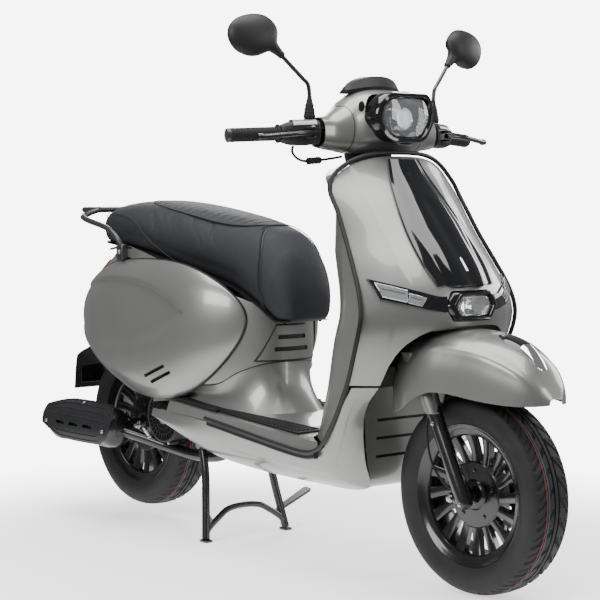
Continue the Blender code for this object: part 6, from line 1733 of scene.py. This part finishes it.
STAND = vec(-0.283, 0, 0.255)
for label, side in SIDES:
    leg = path([(STAND.x, side * 0.106, STAND.z - 0.006), (-0.262, side * 0.112, 0.185),
                (-0.2450, side * 0.123, 0.105), (-0.2245, side * 0.1385, 0.0075)], 50)
    tube("stand_leg_" + label, leg, 0.0110, BLACK, "stand", ["center_stand"], sides=24)
    y0, y1 = sorted((side * 0.0940, side * 0.1165))
    turned("stand_eye_" + label, ((y0, 0.0086), (y0, 0.0160), (y0 + 0.0015, 0.0170), (y1 - 0.0015, 0.0170),
                                  (y1, 0.0160), (y1, 0.0086), (y0, 0.0086)), STAND, Y_AXIS, BLACK, "stand",
           steps=44)
    low = rounded([(-0.2405, min(side * 0.126, side * 0.151)), (-0.2075, min(side * 0.126, side * 0.151)),
                   (-0.2075, max(side * 0.126, side * 0.151)), (-0.2405, max(side * 0.126, side * 0.151))],
                  0.006)
    loft("stand_pad_" + label, [[vec(x, y, z) for x, y in low] for z in (0.0, 0.0062)], BLACK, "stand",
         bevel=0.0012)
    web = [(-0.2250, side * 0.132, 0.030), (-0.2285, side * 0.110, 0.052), (-0.2400, side * 0.127, 0.090)]
    loft("stand_gusset_" + label, [[vec(x - d, y, z) for x, y, z in web] for d in (-0.0018, 0.0018)], BLACK,
         "stand", bevel=0.0006)
    turned("stand_pin_" + label, ((side * 0.1165, 0.0005), (side * 0.1165, 0.0055), (side * 0.1195, 0.0055),
                                  (side * 0.1195, 0.0105), (side * 0.1215, 0.0105),
                                  (side * 0.1215, 0.0005)), STAND, Y_AXIS, STEEL, "chassis", steps=36)
hoop = [(-0.227, -0.136, 0.024), (-0.228, -0.120, 0.040), (-0.231, -0.090, 0.060), (-0.236, -0.055, 0.078),
        (-0.238, 0.0, 0.084), (-0.236, 0.055, 0.078), (-0.231, 0.090, 0.060), (-0.228, 0.120, 0.040),
        (-0.227, 0.136, 0.024)]
tube("stand_hoop", path(hoop, 90), 0.0085, BLACK, "stand", sides=24)
tang = rounded([(0.130, -0.236), (0.236, -0.226), (0.240, -0.262), (0.130, -0.262)], 0.008)
loft("stand_tang", [[vec(x, y, 0.050 + d + 0.050 * (y - 0.130) / 0.110) for y, x in tang]
                    for d in (0.0, 0.0070)], BLACK, "stand", bevel=0.0012)

# ---- floor of the studio, light and camera -------------------------------------------------------
floor_mesh = bpy.data.meshes.new("studio_floor")
bm = bmesh.new()
bmesh.ops.create_grid(bm, x_segments=8, y_segments=8, size=30)
bm.to_mesh(floor_mesh)
bm.free()
studio = bpy.data.objects.new("studio_floor", floor_mesh)
bpy.context.scene.collection.objects.link(studio)
studio.location = (0, 0, -0.0005)
floor_look = bpy.data.materials.new("pale_floor")
floor_look.use_nodes = True
floor_look.node_tree.nodes["Principled BSDF"].inputs["Base Color"].default_value = (0.86, 0.86, 0.85, 1)
floor_look.node_tree.nodes["Principled BSDF"].inputs["Roughness"].default_value = 0.6
floor_look.node_tree.nodes["Principled BSDF"].inputs["Emission Color"].default_value = (1, 1, 1, 1)
floor_look.node_tree.nodes["Principled BSDF"].inputs["Emission Strength"].default_value = 1.0
tree = floor_look.node_tree
where = tree.nodes.new("ShaderNodeTexCoord")
reach = tree.nodes.new("ShaderNodeVectorMath")
reach.operation = "LENGTH"
fade = tree.nodes.new("ShaderNodeMapRange")
fade.interpolation_type = "SMOOTHSTEP"
for socket, value in zip(("From Min", "From Max", "To Min", "To Max"), (0.75, 1.75, 1.0, 0.0)):
    fade.inputs[socket].default_value = value
tree.links.new(where.outputs["Object"], reach.inputs[0])
tree.links.new(reach.outputs["Value"], fade.inputs["Value"])
tree.links.new(fade.outputs["Result"], tree.nodes["Principled BSDF"].inputs["Alpha"])
floor_mesh.materials.append(floor_look)

world = bpy.data.worlds.new("studio")
bpy.context.scene.world = world
world.use_nodes = True
nodes, links = world.node_tree.nodes, world.node_tree.links
background = nodes["Background"]
background.inputs["Color"].default_value = (0.24, 0.245, 0.25, 1)
background.inputs["Strength"].default_value = 1.0
sky = nodes.new("ShaderNodeBackground")
sky.inputs["Color"].default_value = (1.0, 1.0, 1.0, 1)
sky.inputs["Strength"].default_value = 7.0
rays = nodes.new("ShaderNodeLightPath")
mix = nodes.new("ShaderNodeMixShader")
links.new(rays.outputs["Is Camera Ray"], mix.inputs["Fac"])
links.new(background.outputs["Background"], mix.inputs[1])
links.new(sky.outputs["Background"], mix.inputs[2])
links.new(mix.outputs["Shader"], nodes["World Output"].inputs["Surface"])


def softbox(name, at, aim, size, power, tint=(1, 1, 1)):
    light = bpy.data.lights.new(name, "AREA")
    light.shape = "RECTANGLE"
    light.size, light.size_y = size
    light.energy = power
    light.color = tint
    obj = bpy.data.objects.new(name, light)
    bpy.context.scene.collection.objects.link(obj)
    obj.location = at
    obj.rotation_euler = (Vector(aim) - Vector(at)).to_track_quat("-Z", "Y").to_euler()
    return obj


softbox("overhead", (0.2, -0.3, 3.4), (0.0, 0.0, 0.6), (3.6, 2.4), 190)
softbox("key_side", (0.6, -3.4, 2.3), (-0.1, 0.0, 0.6), (2.8, 1.3), 120)
softbox("front_fill", (3.6, 1.6, 1.7), (0.4, 0.0, 0.6), (1.2, 2.2), 60)
softbox("back_rim", (-2.8, 2.2, 2.2), (0.0, 0.0, 0.7), (1.8, 1.6), 70)
softbox("far_side", (0.6, 3.4, 1.8), (0.0, 0.0, 0.6), (2.4, 1.2), 55)

AZ, EL = radians(50.32), radians(3.60)
eye = vec(3.5793, -2.9525, 0.9505)
look_along = vec(-sin(AZ) * cos(EL), cos(AZ) * cos(EL), -sin(EL))
lens = bpy.data.cameras.new("camera")
lens.lens = 105.9
lens.sensor_width = 36
lens.clip_end = 200
camera = bpy.data.objects.new("camera", lens)
bpy.context.scene.collection.objects.link(camera)
camera.location = eye
camera.rotation_euler = look_along.to_track_quat("-Z", "Y").to_euler()
bpy.context.scene.camera = camera
